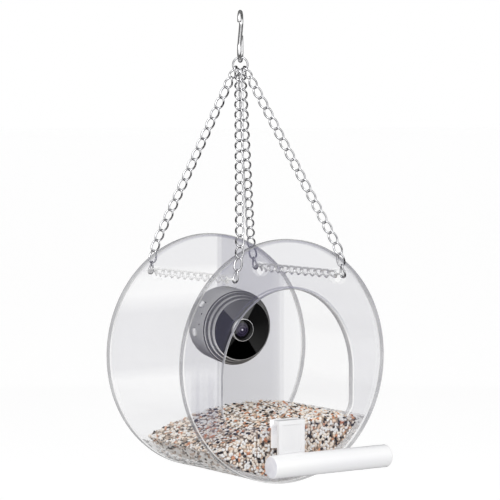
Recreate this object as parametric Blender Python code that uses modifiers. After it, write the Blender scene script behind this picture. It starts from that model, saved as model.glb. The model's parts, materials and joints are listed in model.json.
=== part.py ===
"""Round hanging bird feeder of clear acrylic with a seed trough, a perch, a chain hanger and a small round camera."""

import math

import bmesh
import bpy
from mathutils import Matrix, Vector

# Shared clearances
TOUCH_GAP = 0.0003
CUT_OVERRUN = 0.002
MERGE_DISTANCE = 0.000005

# Drum: two upright clear plates, origin of the drum halfway between them on their axis
PLATE_RADIUS = 0.075
PLATE_THICKNESS = 0.005
PLATE_SPACING = 0.080
PLATE_SIDES = 96

# Feeding opening in the front plate: arched top, straight sides, flat sill, rounded lower corners
OPENING_SIDE_MARGIN = 0.0266
OPENING_TOP_MARGIN = 0.0308
OPENING_SILL_MARGIN = 0.0363
OPENING_OFFSET = 0.0022
OPENING_DROP = 0.0086
OPENING_CORNER_RADIUS = 0.012
ARC_STEPS = 32
CORNER_STEPS = 6

# Curved wall and trough between the plates, open at the top
WALL_THICKNESS = 0.003
WALL_INSET = 0.0003
WALL_TOP_OPEN_ANGLE = math.radians(44)
WALL_STEPS = 64

# Seeds in the trough, with a crowned top that rises and falls in uneven lumps
SEED_CROWN_DEPTH = 0.0350
SEED_CROWN_RADIUS = 0.200
SEED_CROWN_OFFSET = 0.030
SEED_SLOPE = math.radians(1.4)
SEED_LUMP_SPACING = 0.010
SEED_LUMP_HEIGHT = 0.0011
SEED_LUMP_CELLS = 3
SEED_LUMP_DRIFT_SHARES = (0.37, 0.29)

# Hanger hook, bent from round wire in an upright plane
HOOK_WIRE = 0.0026
HOOK_TOP_BEND_RADIUS = 0.0055
HOOK_LOW_BEND_RADIUS = 0.0062
HOOK_HEIGHT = 0.0330
HOOK_TIP_DROP = 0.0008
HOOK_RETURN_RISE = 0.0095
HOOK_RETURN_INSET = 0.0015
HOOK_TURN = math.radians(40)
HOOK_BEND_STEPS = 14

# Gathering ring between the hook and the four chain strands
RING_WIRE = 0.0012
RING_BEND_RADIUS = 0.0047
RING_SIDES = 28

# Chain of oval links, each twisted a quarter turn along its length
LINK_WIRE = 0.0012
LINK_PITCH = 0.0072
LINK_WIDTH = 0.0058
LINK_PLAY = 0.0010
LINK_POINTS = 8
LINK_HOLD_SHARE = 0.25
QUARTER_TURN = math.pi / 2

# Chain holes through both plates, and the way the chain takes over the rim
HOLE_RADIUS = 0.0042
HOLE_INSET = 0.0101
HOLE_ANGLE = math.radians(38.5)
HOLE_SIDES = 20
RIM_ANGLE = math.radians(29)
RIM_RISE = 0.0015
RIM_STANDOFF = 0.0006
OUTER_STRAND_ANGLE = math.radians(49)
INNER_STRAND_ANGLE = math.radians(13)

# How far the plates' tops hang below the hanging point, and the drum's middle in front of it
PLATE_TOP_DROP = 0.1387
DRUM_FORWARD = 0.0060

# Perch clip over the sill, and the round perch
CLIP_WIDTH = 0.0194
CLIP_WALL = 0.0022
CLIP_TOP = 0.0025
CLIP_FRONT_LENGTH = 0.0275
CLIP_REAR_LENGTH = 0.0150
CLIP_PANEL_MARGIN = 0.0028
CLIP_PANEL_LENGTH = 0.0165
CLIP_PANEL_DEPTH = 0.0004
CLIP_EDGE = 0.0004
PERCH_RADIUS = 0.0071
PERCH_LENGTH = 0.088
PERCH_OVERHANG = 0.0112
PERCH_DROP = 0.0236
PERCH_EDGE = 0.0012
PERCH_SIDES = 32

# Camera stand on the back plate; the ball's centre is the camera's turning point
BALL_RADIUS = 0.005
BALL_STANDOFF = 0.0104
BALL_HEIGHT = 0.0191
STEM_RADIUS = 0.0022
PAD_RADIUS = 0.0125
PAD_THICKNESS = 0.0010
STEEL_RADIUS = 0.0120
STEEL_THICKNESS = 0.0008
MAGNET_RADIUS = 0.0115
MAGNET_THICKNESS = 0.0022
CUP_WALL = 0.0017
BALL_STEPS = 6
CAMERA_TILT = math.radians(4.7)
CAMERA_PAN = math.radians(6.8)
TURNED_STEPS = 48
SMALL_TURNED_STEPS = 24

# Camera, measured forward from the ball's centre along the camera's axis
CAMERA_FRONT = 0.0315
CAMERA_RADIUS = 0.02375
CAMERA_REAR_RADIUS = 0.0234
CAMERA_WALL = 0.0018
CAMERA_LENGTH = 0.0295
CAMERA_REAR_ROUND = 0.0012
ROUND_STEPS = 4
BEZEL_DEPTH = 0.0070
BEZEL_STEP_RADII = (0.0196, 0.0212, 0.0230)
BEZEL_STEP_DEPTHS = (0.0005, 0.0028, 0.0058)
BEZEL_EDGE = 0.0004
BEZEL_LEDGE = 0.0014
GLASS_RADIUS = 0.0189
GLASS_THICKNESS = 0.0012
LENS_RING_RADIUS = 0.0072
LENS_RING_WALL = 0.0014
LENS_RING_PROUD = 0.0018
LENS_RING_LENGTH = 0.0041
LENS_RADIUS = 0.0055
LENS_RECESS = 0.0006
LENS_LENGTH = 0.0016
LENS_BULGE = 0.0009
BARREL_RADIUS = 0.0066
BARREL_WALL = 0.0012
BOARD_DEPTH = 0.0094
BOARD_THICKNESS = 0.0012
SENSOR_SIDE = 0.0060
SENSOR_THICKNESS = 0.0014
BATTERY_SIDE = 0.0260
BATTERY_THICKNESS = 0.0062
BATTERY_EDGE = 0.0008

# Controls on the camera's side
SWITCH_ANGLE = math.radians(144)
SWITCH_DEPTH = 0.0182
SWITCH_LENGTH = 0.0030
SWITCH_WIDTH = 0.0040
SWITCH_CORNER = 0.0005
SWITCH_TRAVEL = 0.0020
SWITCH_PROUD = 0.0007
BUTTON_ANGLE = math.radians(189)
BUTTON_DEPTH = 0.0194
BUTTON_LENGTH = 0.0030
BUTTON_WIDTH = 0.0050
BUTTON_CORNER = 0.0014
BUTTON_PROUD = 0.0009
CONTROL_FIT = 0.0003
CONTROL_ROOT = 0.0008
CONTROL_CORNER_STEPS = 3
PINHOLE_ANGLES = (math.radians(158), math.radians(175))
PINHOLE_DEPTH = 0.0134
PINHOLE_RADIUS = 0.0006
PINHOLE_SIDES = 12

# Places worked out from the sizes above
PLATE_INNER = PLATE_SPACING / 2
PLATE_OUTER = PLATE_INNER + PLATE_THICKNESS
WALL_OUTER_RADIUS = PLATE_RADIUS - WALL_INSET
WALL_INNER_RADIUS = WALL_OUTER_RADIUS - WALL_THICKNESS
HOLE_PITCH_RADIUS = PLATE_RADIUS - HOLE_INSET
OPENING_HALF_WIDTH = PLATE_RADIUS - OPENING_SIDE_MARGIN
OPENING_ARCH_HEIGHT = PLATE_RADIUS - OPENING_TOP_MARGIN + OPENING_DROP
OPENING_SIDE_HEIGHT = PLATE_RADIUS - OPENING_SILL_MARGIN - OPENING_DROP
SILL = -OPENING_DROP - OPENING_SIDE_HEIGHT
DRUM_DROP = PLATE_TOP_DROP + PLATE_RADIUS
LINK_HOLD = LINK_WIRE * LINK_HOLD_SHARE
CHAIN_STANDOFF = LINK_WIDTH / 2 + TOUCH_GAP
RUN_RISE = HOLE_RADIUS - LINK_WIDTH / 2 - TOUCH_GAP
HOOK_TOP = HOOK_WIRE / 2
HOOK_BOTTOM = HOOK_WIRE * 3 / 2 - HOOK_HEIGHT
RING_CENTRE = HOOK_BOTTOM + (HOOK_WIRE + RING_WIRE) / 2 + TOUCH_GAP - RING_BEND_RADIUS
CAMERA_REAR = CAMERA_FRONT - CAMERA_LENGTH
CAMERA_INNER_RADIUS = CAMERA_REAR_RADIUS - CAMERA_WALL


def clear_scene():
    for obj in list(bpy.data.objects):
        bpy.data.objects.remove(obj, do_unlink=True)


def new_collection(name):
    collection = bpy.data.collections.new(name)
    bpy.context.scene.collection.children.link(collection)
    return collection


clear_scene()
PARTS = new_collection("bird_feeder")
CUTTERS = new_collection("cutters")


def material(name, colour, roughness, metallic=0.0, alpha=1.0):
    made = bpy.data.materials.new(name)
    made.use_nodes = True
    shader = made.node_tree.nodes["Principled BSDF"]
    shader.inputs["Base Color"].default_value = (*colour, 1.0)
    shader.inputs["Roughness"].default_value = roughness
    shader.inputs["Metallic"].default_value = metallic
    shader.inputs["Alpha"].default_value = alpha
    return made


CLEAR_ACRYLIC = ((0.92, 0.92, 0.95), 0.05, 0.0, 0.35)
CHROME = ((0.78, 0.78, 0.80), 0.12, 1.0)
STEEL = ((0.62, 0.62, 0.64), 0.25, 1.0)
MILKY_ACRYLIC = ((0.93, 0.93, 0.95), 0.15)
SEED_MIX = ((0.62, 0.52, 0.40), 0.80)
CAMERA_GREY = ((0.20, 0.20, 0.22), 0.35, 0.3)
BEZEL_GREY = ((0.30, 0.30, 0.31), 0.25, 0.7)
BLACK_GLASS = ((0.01, 0.01, 0.01), 0.04)
BRIGHT_METAL = ((0.75, 0.75, 0.76), 0.15, 1.0)
LENS_VIOLET = ((0.03, 0.02, 0.06), 0.03)
BLACK_PLASTIC = ((0.03, 0.03, 0.03), 0.45)
BOARD_GREEN = ((0.03, 0.18, 0.08), 0.50)
SENSOR_BLACK = ((0.02, 0.02, 0.03), 0.20)
BATTERY_FOIL = ((0.55, 0.56, 0.58), 0.40, 0.5)
WHITE_PLASTIC = ((0.90, 0.90, 0.90), 0.30)
GREY_FOAM = ((0.35, 0.35, 0.36), 0.90)


def finish(obj, name, surface, parent=None, smooth=True):
    """Names an object, gives it its own material and files it with the parts."""
    obj.name = name
    obj.data.name = name
    obj.data.materials.clear()
    obj.data.materials.append(material(name, *surface))
    obj.parent = parent
    for collection in list(obj.users_collection):
        collection.objects.unlink(obj)
    PARTS.objects.link(obj)
    if smooth and obj.type == "MESH":
        obj.data.shade_smooth()
        obj.data.set_sharp_from_angle(angle=math.radians(35))
    return obj


def file_cutter(obj, name, parent=None):
    """Files an object that only shapes another one."""
    obj.name = name
    obj.parent = parent
    obj.hide_render = True
    obj.display_type = "WIRE"
    for collection in list(obj.users_collection):
        collection.objects.unlink(obj)
    CUTTERS.objects.link(obj)
    return obj


def boolean(obj, other, operation="DIFFERENCE"):
    modifier = obj.modifiers.new(other.name, "BOOLEAN")
    modifier.operation = operation
    modifier.solver = "EXACT"
    modifier.object = other


def bevel(obj, width, segments=2):
    modifier = obj.modifiers.new("rounded_edges", "BEVEL")
    modifier.width = width
    modifier.segments = segments
    modifier.limit_method = "ANGLE"


def empty(name, location, rotation=(0, 0, 0), parent=None):
    obj = bpy.data.objects.new(name, None)
    obj.location = location
    obj.rotation_euler = rotation
    obj.parent = parent
    CUTTERS.objects.link(obj)
    return obj


def arc(centre, radius, start, end, steps):
    """Points on an arc in a plane, both ends included."""
    points = []
    for i in range(steps + 1):
        angle = start + (end - start) * i / steps
        points.append((centre[0] + radius * math.cos(angle), centre[1] + radius * math.sin(angle)))
    return points


def circle(centre, radius, sides):
    return arc(centre, radius, 0, 2 * math.pi, sides)[:-1]


def flat_outline(loops, thickness):
    """A flat shape with holes, from closed outlines in its own XY plane, with its thickness along Z."""
    curve = bpy.data.curves.new("outline", "CURVE")
    curve.dimensions = "2D"
    curve.fill_mode = "BOTH"
    curve.extrude = thickness / 2
    for points in loops:
        spline = curve.splines.new("POLY")
        spline.points.add(len(points) - 1)
        spline.use_cyclic_u = True
        for point, (x, y) in zip(spline.points, points):
            point.co = (x, y, 0, 1)
    obj = bpy.data.objects.new("outline", curve)
    PARTS.objects.link(obj)
    return obj


def as_mesh(obj):
    """Turns a curve object into a welded mesh of triangles in the same place."""
    bpy.context.view_layer.update()
    evaluated = obj.evaluated_get(bpy.context.evaluated_depsgraph_get())
    mesh = bpy.data.meshes.new_from_object(evaluated)
    shape = bmesh.new()
    shape.from_mesh(mesh)
    bmesh.ops.remove_doubles(shape, verts=shape.verts, dist=MERGE_DISTANCE)
    bmesh.ops.triangulate(shape, faces=shape.faces)
    shape.to_mesh(mesh)
    shape.free()
    made = bpy.data.objects.new(obj.name, mesh)
    made.matrix_world = obj.matrix_world
    PARTS.objects.link(made)
    bpy.data.objects.remove(obj)
    return made


def wires(runs, thickness, cyclic=False, resolution=2):
    """Round wires of one thickness, each through its own points."""
    curve = bpy.data.curves.new("wire", "CURVE")
    curve.dimensions = "3D"
    curve.bevel_depth = thickness / 2
    curve.bevel_resolution = resolution
    curve.use_fill_caps = True
    for points in runs:
        spline = curve.splines.new("POLY")
        spline.points.add(len(points) - 1)
        spline.use_cyclic_u = cyclic
        for point, place in zip(spline.points, points):
            point.co = (*place, 1)
    obj = bpy.data.objects.new("wire", curve)
    PARTS.objects.link(obj)
    return obj


def turned(profile, closed=False, steps=TURNED_STEPS):
    """A turned shape about its own Z axis, from (radius, height) points that run down its outer side."""
    mesh = bpy.data.meshes.new("profile")
    edges = [(i, i + 1) for i in range(len(profile) - 1)]
    if closed:
        edges.append((len(profile) - 1, 0))
    mesh.from_pydata([(radius, 0, height) for radius, height in profile], edges, [])
    obj = bpy.data.objects.new("profile", mesh)
    PARTS.objects.link(obj)
    screw = obj.modifiers.new("turned", "SCREW")
    screw.steps = steps
    screw.render_steps = steps
    screw.use_merge_vertices = True
    screw.merge_threshold = MERGE_DISTANCE
    screw.use_smooth_shade = True
    return obj


def box(size, location=(0, 0, 0), rotation=(0, 0, 0)):
    bpy.ops.mesh.primitive_cube_add(size=1)
    obj = bpy.context.object
    obj.data.transform(Matrix.Diagonal((*size, 1)))
    obj.location = location
    obj.rotation_euler = rotation
    return obj


def cylinder(radius, length, sides, location=(0, 0, 0), rotation=(0, 0, 0)):
    bpy.ops.mesh.primitive_cylinder_add(vertices=sides, radius=radius, depth=length)
    obj = bpy.context.object
    obj.location = location
    obj.rotation_euler = rotation
    return obj


# Hanging: the swing is at the ring, and the drum hangs below it
HOOK_ACROSS = Vector((math.sin(HOOK_TURN), math.cos(HOOK_TURN), 0))
RING_ACROSS = Vector((math.cos(HOOK_TURN), -math.sin(HOOK_TURN), 0))
UP = Vector((0, 0, 1))
STRAND_OVERHANG = (RING_WIRE + LINK_WIRE) / 2 + LINK_PLAY
SWING_HEIGHT = RING_CENTRE - RING_BEND_RADIUS * (
    math.cos(OUTER_STRAND_ANGLE) + math.cos(INNER_STRAND_ANGLE)
) / 2

ring_hang = empty("ring_hang", (0, 0, HOOK_BOTTOM))
swing = empty("swing", (0, 0, SWING_HEIGHT - HOOK_BOTTOM), parent=ring_hang)
drum = empty("drum", (0, -DRUM_FORWARD, -DRUM_DROP - SWING_HEIGHT), parent=swing)


def in_drum(x, y, z):
    """A place given from the drum's centre, as seen from the hanging point."""
    return Vector((x, y - DRUM_FORWARD, z - DRUM_DROP))


def make_hanger_hook():
    """An S hook: a top bend that hangs on a twig or nail, a slanting stem and a nearly closed lower bend."""
    top = (0, HOOK_TOP - HOOK_TOP_BEND_RADIUS)
    low = (0, HOOK_BOTTOM + HOOK_LOW_BEND_RADIUS)
    slant = math.asin((HOOK_TOP_BEND_RADIUS + HOOK_LOW_BEND_RADIUS) / (top[1] - low[1]))
    outline = [(-HOOK_TOP_BEND_RADIUS, top[1] - HOOK_TIP_DROP)]
    outline += arc(top, HOOK_TOP_BEND_RADIUS, math.pi, -slant, HOOK_BEND_STEPS)
    outline += arc(low, HOOK_LOW_BEND_RADIUS, -math.pi - slant, 0, HOOK_BEND_STEPS)
    outline.append((HOOK_LOW_BEND_RADIUS - HOOK_RETURN_INSET, low[1] + HOOK_RETURN_RISE))
    points = [HOOK_ACROSS * across + UP * height for across, height in outline]
    hook = as_mesh(wires([points], HOOK_WIRE))
    finish(hook, "hanger_hook", CHROME)


def make_gathering_ring():
    centre = UP * (RING_CENTRE - HOOK_BOTTOM)
    points = []
    for across, height in circle((0, 0), RING_BEND_RADIUS, RING_SIDES):
        points.append(centre + RING_ACROSS * across + UP * height)
    ring = as_mesh(wires([points], RING_WIRE, cyclic=True, resolution=1))
    finish(ring, "gathering_ring", STEEL, ring_hang)


def along(points, distance):
    """The place at a distance along straight runs through points."""
    for start, end in zip(points, points[1:]):
        length = (end - start).length
        if distance <= length or end is points[-1]:
            return start.lerp(end, distance / length)
        distance -= length


def wire_angle(direction, heading):
    """The angle of a direction about a heading, from the X axis."""
    first = (Vector((1, 0, 0)) - heading * heading.x).normalized()
    second = heading.cross(first)
    return math.atan2(direction.dot(second), direction.dot(first))


def link_points(start, end, start_angle, turn):
    """The middle line of an oval link whose two ends hook past the joints it spans."""
    heading = (end - start).normalized()
    first = (Vector((1, 0, 0)) - heading * heading.x).normalized()
    second = heading.cross(first)
    half_length = (end - start).length / 2 + LINK_HOLD
    half_width = (LINK_WIDTH - LINK_WIRE) / 2
    flat_end = math.cos(math.pi / LINK_POINTS)
    points = []
    for i in range(LINK_POINTS):
        around = 2 * math.pi * (i + 1 / 2) / LINK_POINTS
        lengthwise = math.cos(around) / flat_end
        angle = start_angle + turn * (1 + lengthwise) / 2
        side = first * math.cos(angle) + second * math.sin(angle)
        middle = (start + end) / 2 + heading * half_length * lengthwise
        points.append(middle + side * half_width * math.sin(around))
    return points


def make_chain(name, path, wires_held, reaches):
    """A taut stretch of twisted links, joined link to link.

    Each end link lies along the given wire at the given reach from its end, where it holds another piece.
    """
    length = sum((end - start).length for start, end in zip(path, path[1:]))
    count = round((length - 2 * LINK_HOLD) / LINK_PITCH)
    spacing = (length - 2 * LINK_HOLD) / count
    joints = [along(path, LINK_HOLD + spacing * i) for i in range(count + 1)]
    first_heading = (joints[1] - joints[0]).normalized()
    last_heading = (joints[-1] - joints[-2]).normalized()
    angle = wire_angle(wires_held[0], first_heading) + QUARTER_TURN * reaches[0] / spacing
    last_angle = wire_angle(wires_held[1], last_heading) - QUARTER_TURN * reaches[1] / spacing
    left_over = last_angle - angle + QUARTER_TURN
    left_over = (left_over + QUARTER_TURN) % math.pi - QUARTER_TURN
    turn = left_over / count - QUARTER_TURN
    runs = ([], [])
    for i in range(count):
        runs[i % 2].append(link_points(joints[i], joints[i + 1], angle, turn))
        angle += turn + QUARTER_TURN
    chain, others = [as_mesh(wires(run, LINK_WIRE, cyclic=True, resolution=0)) for run in runs]
    for obj in (chain, others):
        obj.location = -UP * SWING_HEIGHT
    file_cutter(others, name + "_others", swing)
    boolean(chain, others, "UNION")
    finish(chain, name, STEEL, swing)


def make_chains():
    """Each chain runs from the ring, over a rim, through both plates and back up to the ring."""
    seat_angles = {
        "back_left": -OUTER_STRAND_ANGLE,
        "front_left": -INNER_STRAND_ANGLE,
        "back_right": INNER_STRAND_ANGLE,
        "front_right": OUTER_STRAND_ANGLE,
    }
    ring = UP * RING_CENTRE
    outside = PLATE_OUTER + CHAIN_STANDOFF
    hole_x = HOLE_PITCH_RADIUS * math.sin(HOLE_ANGLE)
    run_z = HOLE_PITCH_RADIUS * math.cos(HOLE_ANGLE) + RUN_RISE
    rim_radius = PLATE_RADIUS + RIM_RISE
    hooked_below = LINK_WIRE + TOUCH_GAP
    strand_wires = (HOOK_ACROSS, Vector((0, 1, 0)))
    run_wires = [Vector((1, 0, 0))] * 2
    run_reaches = [(LINK_WIDTH - LINK_WIRE) / 2] * 2
    for side, side_sign in (("left", -1), ("right", 1)):
        for face, face_sign in (("front", -1), ("back", 1)):
            seat_angle = seat_angles[f"{face}_{side}"]
            outward = RING_ACROSS * math.sin(seat_angle) - UP * math.cos(seat_angle)
            ring_wire = ring + outward * RING_BEND_RADIUS
            rim = in_drum(
                side_sign * rim_radius * math.sin(RIM_ANGLE),
                face_sign * (outside + RIM_STANDOFF),
                rim_radius * math.cos(RIM_ANGLE),
            )
            seat = ring_wire + (ring_wire - rim).normalized() * STRAND_OVERHANG
            hole = in_drum(side_sign * hole_x, face_sign * outside, run_z - hooked_below)
            reaches = (STRAND_OVERHANG, hooked_below)
            make_chain(f"chain_{face}_{side}", [seat, rim, hole], strand_wires, reaches)
        run = [in_drum(side_sign * hole_x, face * outside, run_z) for face in (-1, 1)]
        make_chain(f"chain_run_{side}", run, run_wires, run_reaches)


UPRIGHT = (math.radians(90), 0, 0)


def chain_holes():
    loops = []
    for side in (-1, 1):
        centre = (
            side * HOLE_PITCH_RADIUS * math.sin(HOLE_ANGLE),
            HOLE_PITCH_RADIUS * math.cos(HOLE_ANGLE),
        )
        loops.append(circle(centre, HOLE_RADIUS, HOLE_SIDES))
    return loops


def opening_outline():
    """An arched top on straight sides, with a flat sill and rounded lower corners."""
    points = []
    for across, up in arc((0, 0), 1, 0, math.pi, ARC_STEPS):
        points.append((OPENING_OFFSET + across * OPENING_HALF_WIDTH, up * OPENING_ARCH_HEIGHT - OPENING_DROP))
    corner_x = OPENING_HALF_WIDTH - OPENING_CORNER_RADIUS
    corner_z = SILL + OPENING_CORNER_RADIUS
    left, right = OPENING_OFFSET - corner_x, OPENING_OFFSET + corner_x
    points += arc((left, corner_z), OPENING_CORNER_RADIUS, math.pi, math.pi * 3 / 2, CORNER_STEPS)
    points += arc((right, corner_z), OPENING_CORNER_RADIUS, -math.pi / 2, 0, CORNER_STEPS)
    return points


def make_plate(name, y, openings):
    loops = [circle((0, 0), PLATE_RADIUS, PLATE_SIDES)] + chain_holes() + openings
    plate = flat_outline(loops, PLATE_THICKNESS)
    plate.location = (0, y, 0)
    plate.rotation_euler = UPRIGHT
    finish(plate, name, CLEAR_ACRYLIC, drum)


def make_plates():
    middle = PLATE_INNER + PLATE_THICKNESS / 2
    make_plate("front_plate", -middle, [opening_outline()])
    make_plate("back_plate", middle, [])


def make_side_wall():
    start = math.pi / 2 + WALL_TOP_OPEN_ANGLE
    end = math.pi * 5 / 2 - WALL_TOP_OPEN_ANGLE
    outline = arc((0, 0), WALL_OUTER_RADIUS, start, end, WALL_STEPS)
    outline += arc((0, 0), WALL_INNER_RADIUS, end, start, WALL_STEPS)
    wall = flat_outline([outline], PLATE_SPACING - 2 * TOUCH_GAP)
    wall.rotation_euler = UPRIGHT
    finish(wall, "side_wall", CLEAR_ACRYLIC, drum)


def seed_top(x, y):
    """The heap's height above the drum's middle."""
    aside = x - SEED_CROWN_OFFSET
    crown = math.sqrt(SEED_CROWN_RADIUS**2 - aside**2) - SEED_CROWN_RADIUS - SEED_CROWN_DEPTH
    across = 2 * math.pi * x / SEED_LUMP_SPACING
    lengthwise = 2 * math.pi * y / SEED_LUMP_SPACING
    drift_across, drift_lengthwise = SEED_LUMP_DRIFT_SHARES
    wave = math.sin(across + math.sin(drift_across * lengthwise))
    wave *= math.sin(lengthwise + math.sin(drift_lengthwise * across))
    return crown + math.tan(SEED_SLOPE) * y + SEED_LUMP_HEIGHT * (wave - 1) / 2


def make_heap_top(width, length):
    """A block that fills everything below the heap's uneven top."""
    cell = SEED_LUMP_SPACING / SEED_LUMP_CELLS
    bpy.ops.mesh.primitive_grid_add(
        x_subdivisions=round(width / cell),
        y_subdivisions=round(length / cell),
        size=1,
    )
    heap = bpy.context.object
    heap.data.transform(Matrix.Diagonal((width, length, 1, 1)))
    shape = bmesh.new()
    shape.from_mesh(heap.data)
    bmesh.ops.triangulate(shape, faces=shape.faces)
    for vert in shape.verts:
        vert.co.z = seed_top(vert.co.x, vert.co.y)
    lowered = bmesh.ops.extrude_face_region(shape, geom=shape.faces[:], use_keep_orig=True)
    for item in lowered["geom"]:
        if isinstance(item, bmesh.types.BMVert):
            item.co.z = -PLATE_RADIUS - CUT_OVERRUN
    bmesh.ops.recalc_face_normals(shape, faces=shape.faces)
    shape.to_mesh(heap.data)
    shape.free()
    return file_cutter(heap, "heap_top", drum)


def make_seed_fill():
    """A heap of seeds lying in the trough, with a slot where the clip's rear leg stands in them."""
    length = PLATE_SPACING - 2 * TOUCH_GAP
    seeds = cylinder(WALL_INNER_RADIUS - TOUCH_GAP, length, PLATE_SIDES, rotation=UPRIGHT)
    heap_top = make_heap_top(2 * (WALL_INNER_RADIUS + CUT_OVERRUN), PLATE_SPACING + 2 * CUT_OVERRUN)
    boolean(seeds, heap_top, "INTERSECT")
    slot_reach = CLIP_WALL + 3 * TOUCH_GAP
    slot_height = CLIP_REAR_LENGTH + CLIP_TOP
    slot = box(
        (CLIP_WIDTH + 4 * TOUCH_GAP, slot_reach + CUT_OVERRUN, slot_height + CUT_OVERRUN),
        location=(
            OPENING_OFFSET,
            -PLATE_INNER + (slot_reach - CUT_OVERRUN) / 2,
            SILL + CLIP_TOP - (slot_height + TOUCH_GAP * 2 - CUT_OVERRUN) / 2,
        ),
    )
    file_cutter(slot, "clip_slot", drum)
    boolean(seeds, slot)
    finish(seeds, "seed_fill", SEED_MIX, drum)


def make_perch_clip():
    """An upside-down U over the sill, with a shallow panel on its front."""
    front = -PLATE_OUTER - TOUCH_GAP
    rear = -PLATE_INNER + TOUCH_GAP
    seat = SILL + TOUCH_GAP
    top = seat + CLIP_TOP
    outline = [
        (front - CLIP_WALL, top - CLIP_FRONT_LENGTH),
        (front, top - CLIP_FRONT_LENGTH),
        (front, seat),
        (rear, seat),
        (rear, top - CLIP_TOP - CLIP_REAR_LENGTH),
        (rear + CLIP_WALL, top - CLIP_TOP - CLIP_REAR_LENGTH),
        (rear + CLIP_WALL, top),
        (front - CLIP_WALL, top),
    ]
    flat = flat_outline([outline], CLIP_WIDTH)
    flat.location = (OPENING_OFFSET, 0, 0)
    flat.rotation_euler = (math.radians(90), 0, math.radians(90))
    clip = as_mesh(flat)
    panel = box(
        (CLIP_WIDTH - 2 * CLIP_PANEL_MARGIN, CLIP_PANEL_DEPTH + CUT_OVERRUN, CLIP_PANEL_LENGTH),
        location=(
            OPENING_OFFSET,
            front - CLIP_WALL + (CLIP_PANEL_DEPTH - CUT_OVERRUN) / 2,
            top - CLIP_PANEL_MARGIN - CLIP_PANEL_LENGTH / 2,
        ),
    )
    file_cutter(panel, "clip_panel", drum)
    boolean(clip, panel)
    bevel(clip, CLIP_EDGE)
    finish(clip, "perch_clip", MILKY_ACRYLIC, drum)


def make_perch_rod():
    left_end = OPENING_OFFSET - CLIP_WIDTH / 2 - PERCH_OVERHANG
    front = -PLATE_OUTER - TOUCH_GAP - CLIP_WALL
    rod = cylinder(
        PERCH_RADIUS,
        PERCH_LENGTH,
        PERCH_SIDES,
        location=(left_end + PERCH_LENGTH / 2, front - TOUCH_GAP - PERCH_RADIUS, SILL - PERCH_DROP),
        rotation=(0, math.radians(90), 0),
    )
    bevel(rod, PERCH_EDGE)
    finish(rod, "perch_rod", MILKY_ACRYLIC, drum)


BALL_Y = PLATE_INNER - BALL_STANDOFF
aim = empty(
    "camera_aim",
    (0, BALL_Y, BALL_HEIGHT),
    (math.radians(90) + CAMERA_TILT, 0, -CAMERA_PAN),
    drum,
)


def make_camera_stand():
    """A foam pad and a steel disc on the back plate, and a magnet base with a ball that holds to it."""
    pad_y = PLATE_INNER - TOUCH_GAP - PAD_THICKNESS / 2
    steel_y = pad_y - (PAD_THICKNESS + STEEL_THICKNESS) / 2 - TOUCH_GAP
    magnet_back = steel_y - STEEL_THICKNESS / 2 - TOUCH_GAP
    pad = cylinder(PAD_RADIUS, PAD_THICKNESS, TURNED_STEPS, (0, pad_y, BALL_HEIGHT), UPRIGHT)
    finish(pad, "camera_mount_pad", GREY_FOAM, drum)
    steel = cylinder(STEEL_RADIUS, STEEL_THICKNESS, TURNED_STEPS, (0, steel_y, BALL_HEIGHT), UPRIGHT)
    finish(steel, "camera_mount_steel_disc", STEEL, drum)
    base_front = BALL_Y - magnet_back + MAGNET_THICKNESS
    neck_height = -math.sqrt(BALL_RADIUS**2 - STEM_RADIUS**2)
    neck_angle = math.atan2(neck_height, STEM_RADIUS)
    profile = [(0, BALL_RADIUS)]
    profile += arc((0, 0), BALL_RADIUS, math.pi / 2, neck_angle, BALL_STEPS)[1:]
    profile += [
        (STEM_RADIUS, base_front),
        (MAGNET_RADIUS, base_front),
        (MAGNET_RADIUS, BALL_Y - magnet_back),
        (0, BALL_Y - magnet_back),
    ]
    stand = turned(profile, steps=SMALL_TURNED_STEPS)
    stand.location = (0, BALL_Y, BALL_HEIGHT)
    stand.rotation_euler = UPRIGHT
    finish(stand, "camera_magnet_stand", BRIGHT_METAL, drum)


def make_camera_cup():
    """The half-round seat that turns on the stand's ball."""
    inner = BALL_RADIUS + TOUCH_GAP
    profile = arc((0, 0), inner + CUP_WALL, math.pi / 2, 0, BALL_STEPS)
    profile += arc((0, 0), inner, 0, math.pi / 2, BALL_STEPS)
    profile[0] = (0, profile[0][1])
    profile[-1] = (0, profile[-1][1])
    finish(turned(profile, steps=SMALL_TURNED_STEPS), "camera_socket_cup", STEEL, aim)


def rounded_rectangle(width, length, radius):
    """Corner arcs of a rectangle, its width across X and its length along Y."""
    across = width / 2 - radius
    lengthwise = length / 2 - radius
    corners = ((across, lengthwise), (-across, lengthwise), (-across, -lengthwise), (across, -lengthwise))
    points = []
    for quarter, corner in enumerate(corners):
        begin = quarter * QUARTER_TURN
        points += arc(corner, radius, begin, begin + QUARTER_TURN, CONTROL_CORNER_STEPS)
    return points


def on_camera_side(obj, angle, depth, radius):
    """Stands a shape on the camera's round side, its own Z axis pointing out and its Y axis forward."""
    obj.location = (radius * math.cos(angle), radius * math.sin(angle), CAMERA_FRONT - depth)
    obj.rotation_euler = (QUARTER_TURN, 0, angle + QUARTER_TURN)
    return obj


def side_cutter(name, outline, angle, depth):
    """A cut through the camera's wall, shaped by an outline."""
    wall = CAMERA_RADIUS - CAMERA_INNER_RADIUS
    cutter = flat_outline([outline], wall + 2 * CUT_OVERRUN)
    on_camera_side(cutter, angle, depth, CAMERA_RADIUS - wall / 2)
    return file_cutter(as_mesh(cutter), name, aim)


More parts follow.
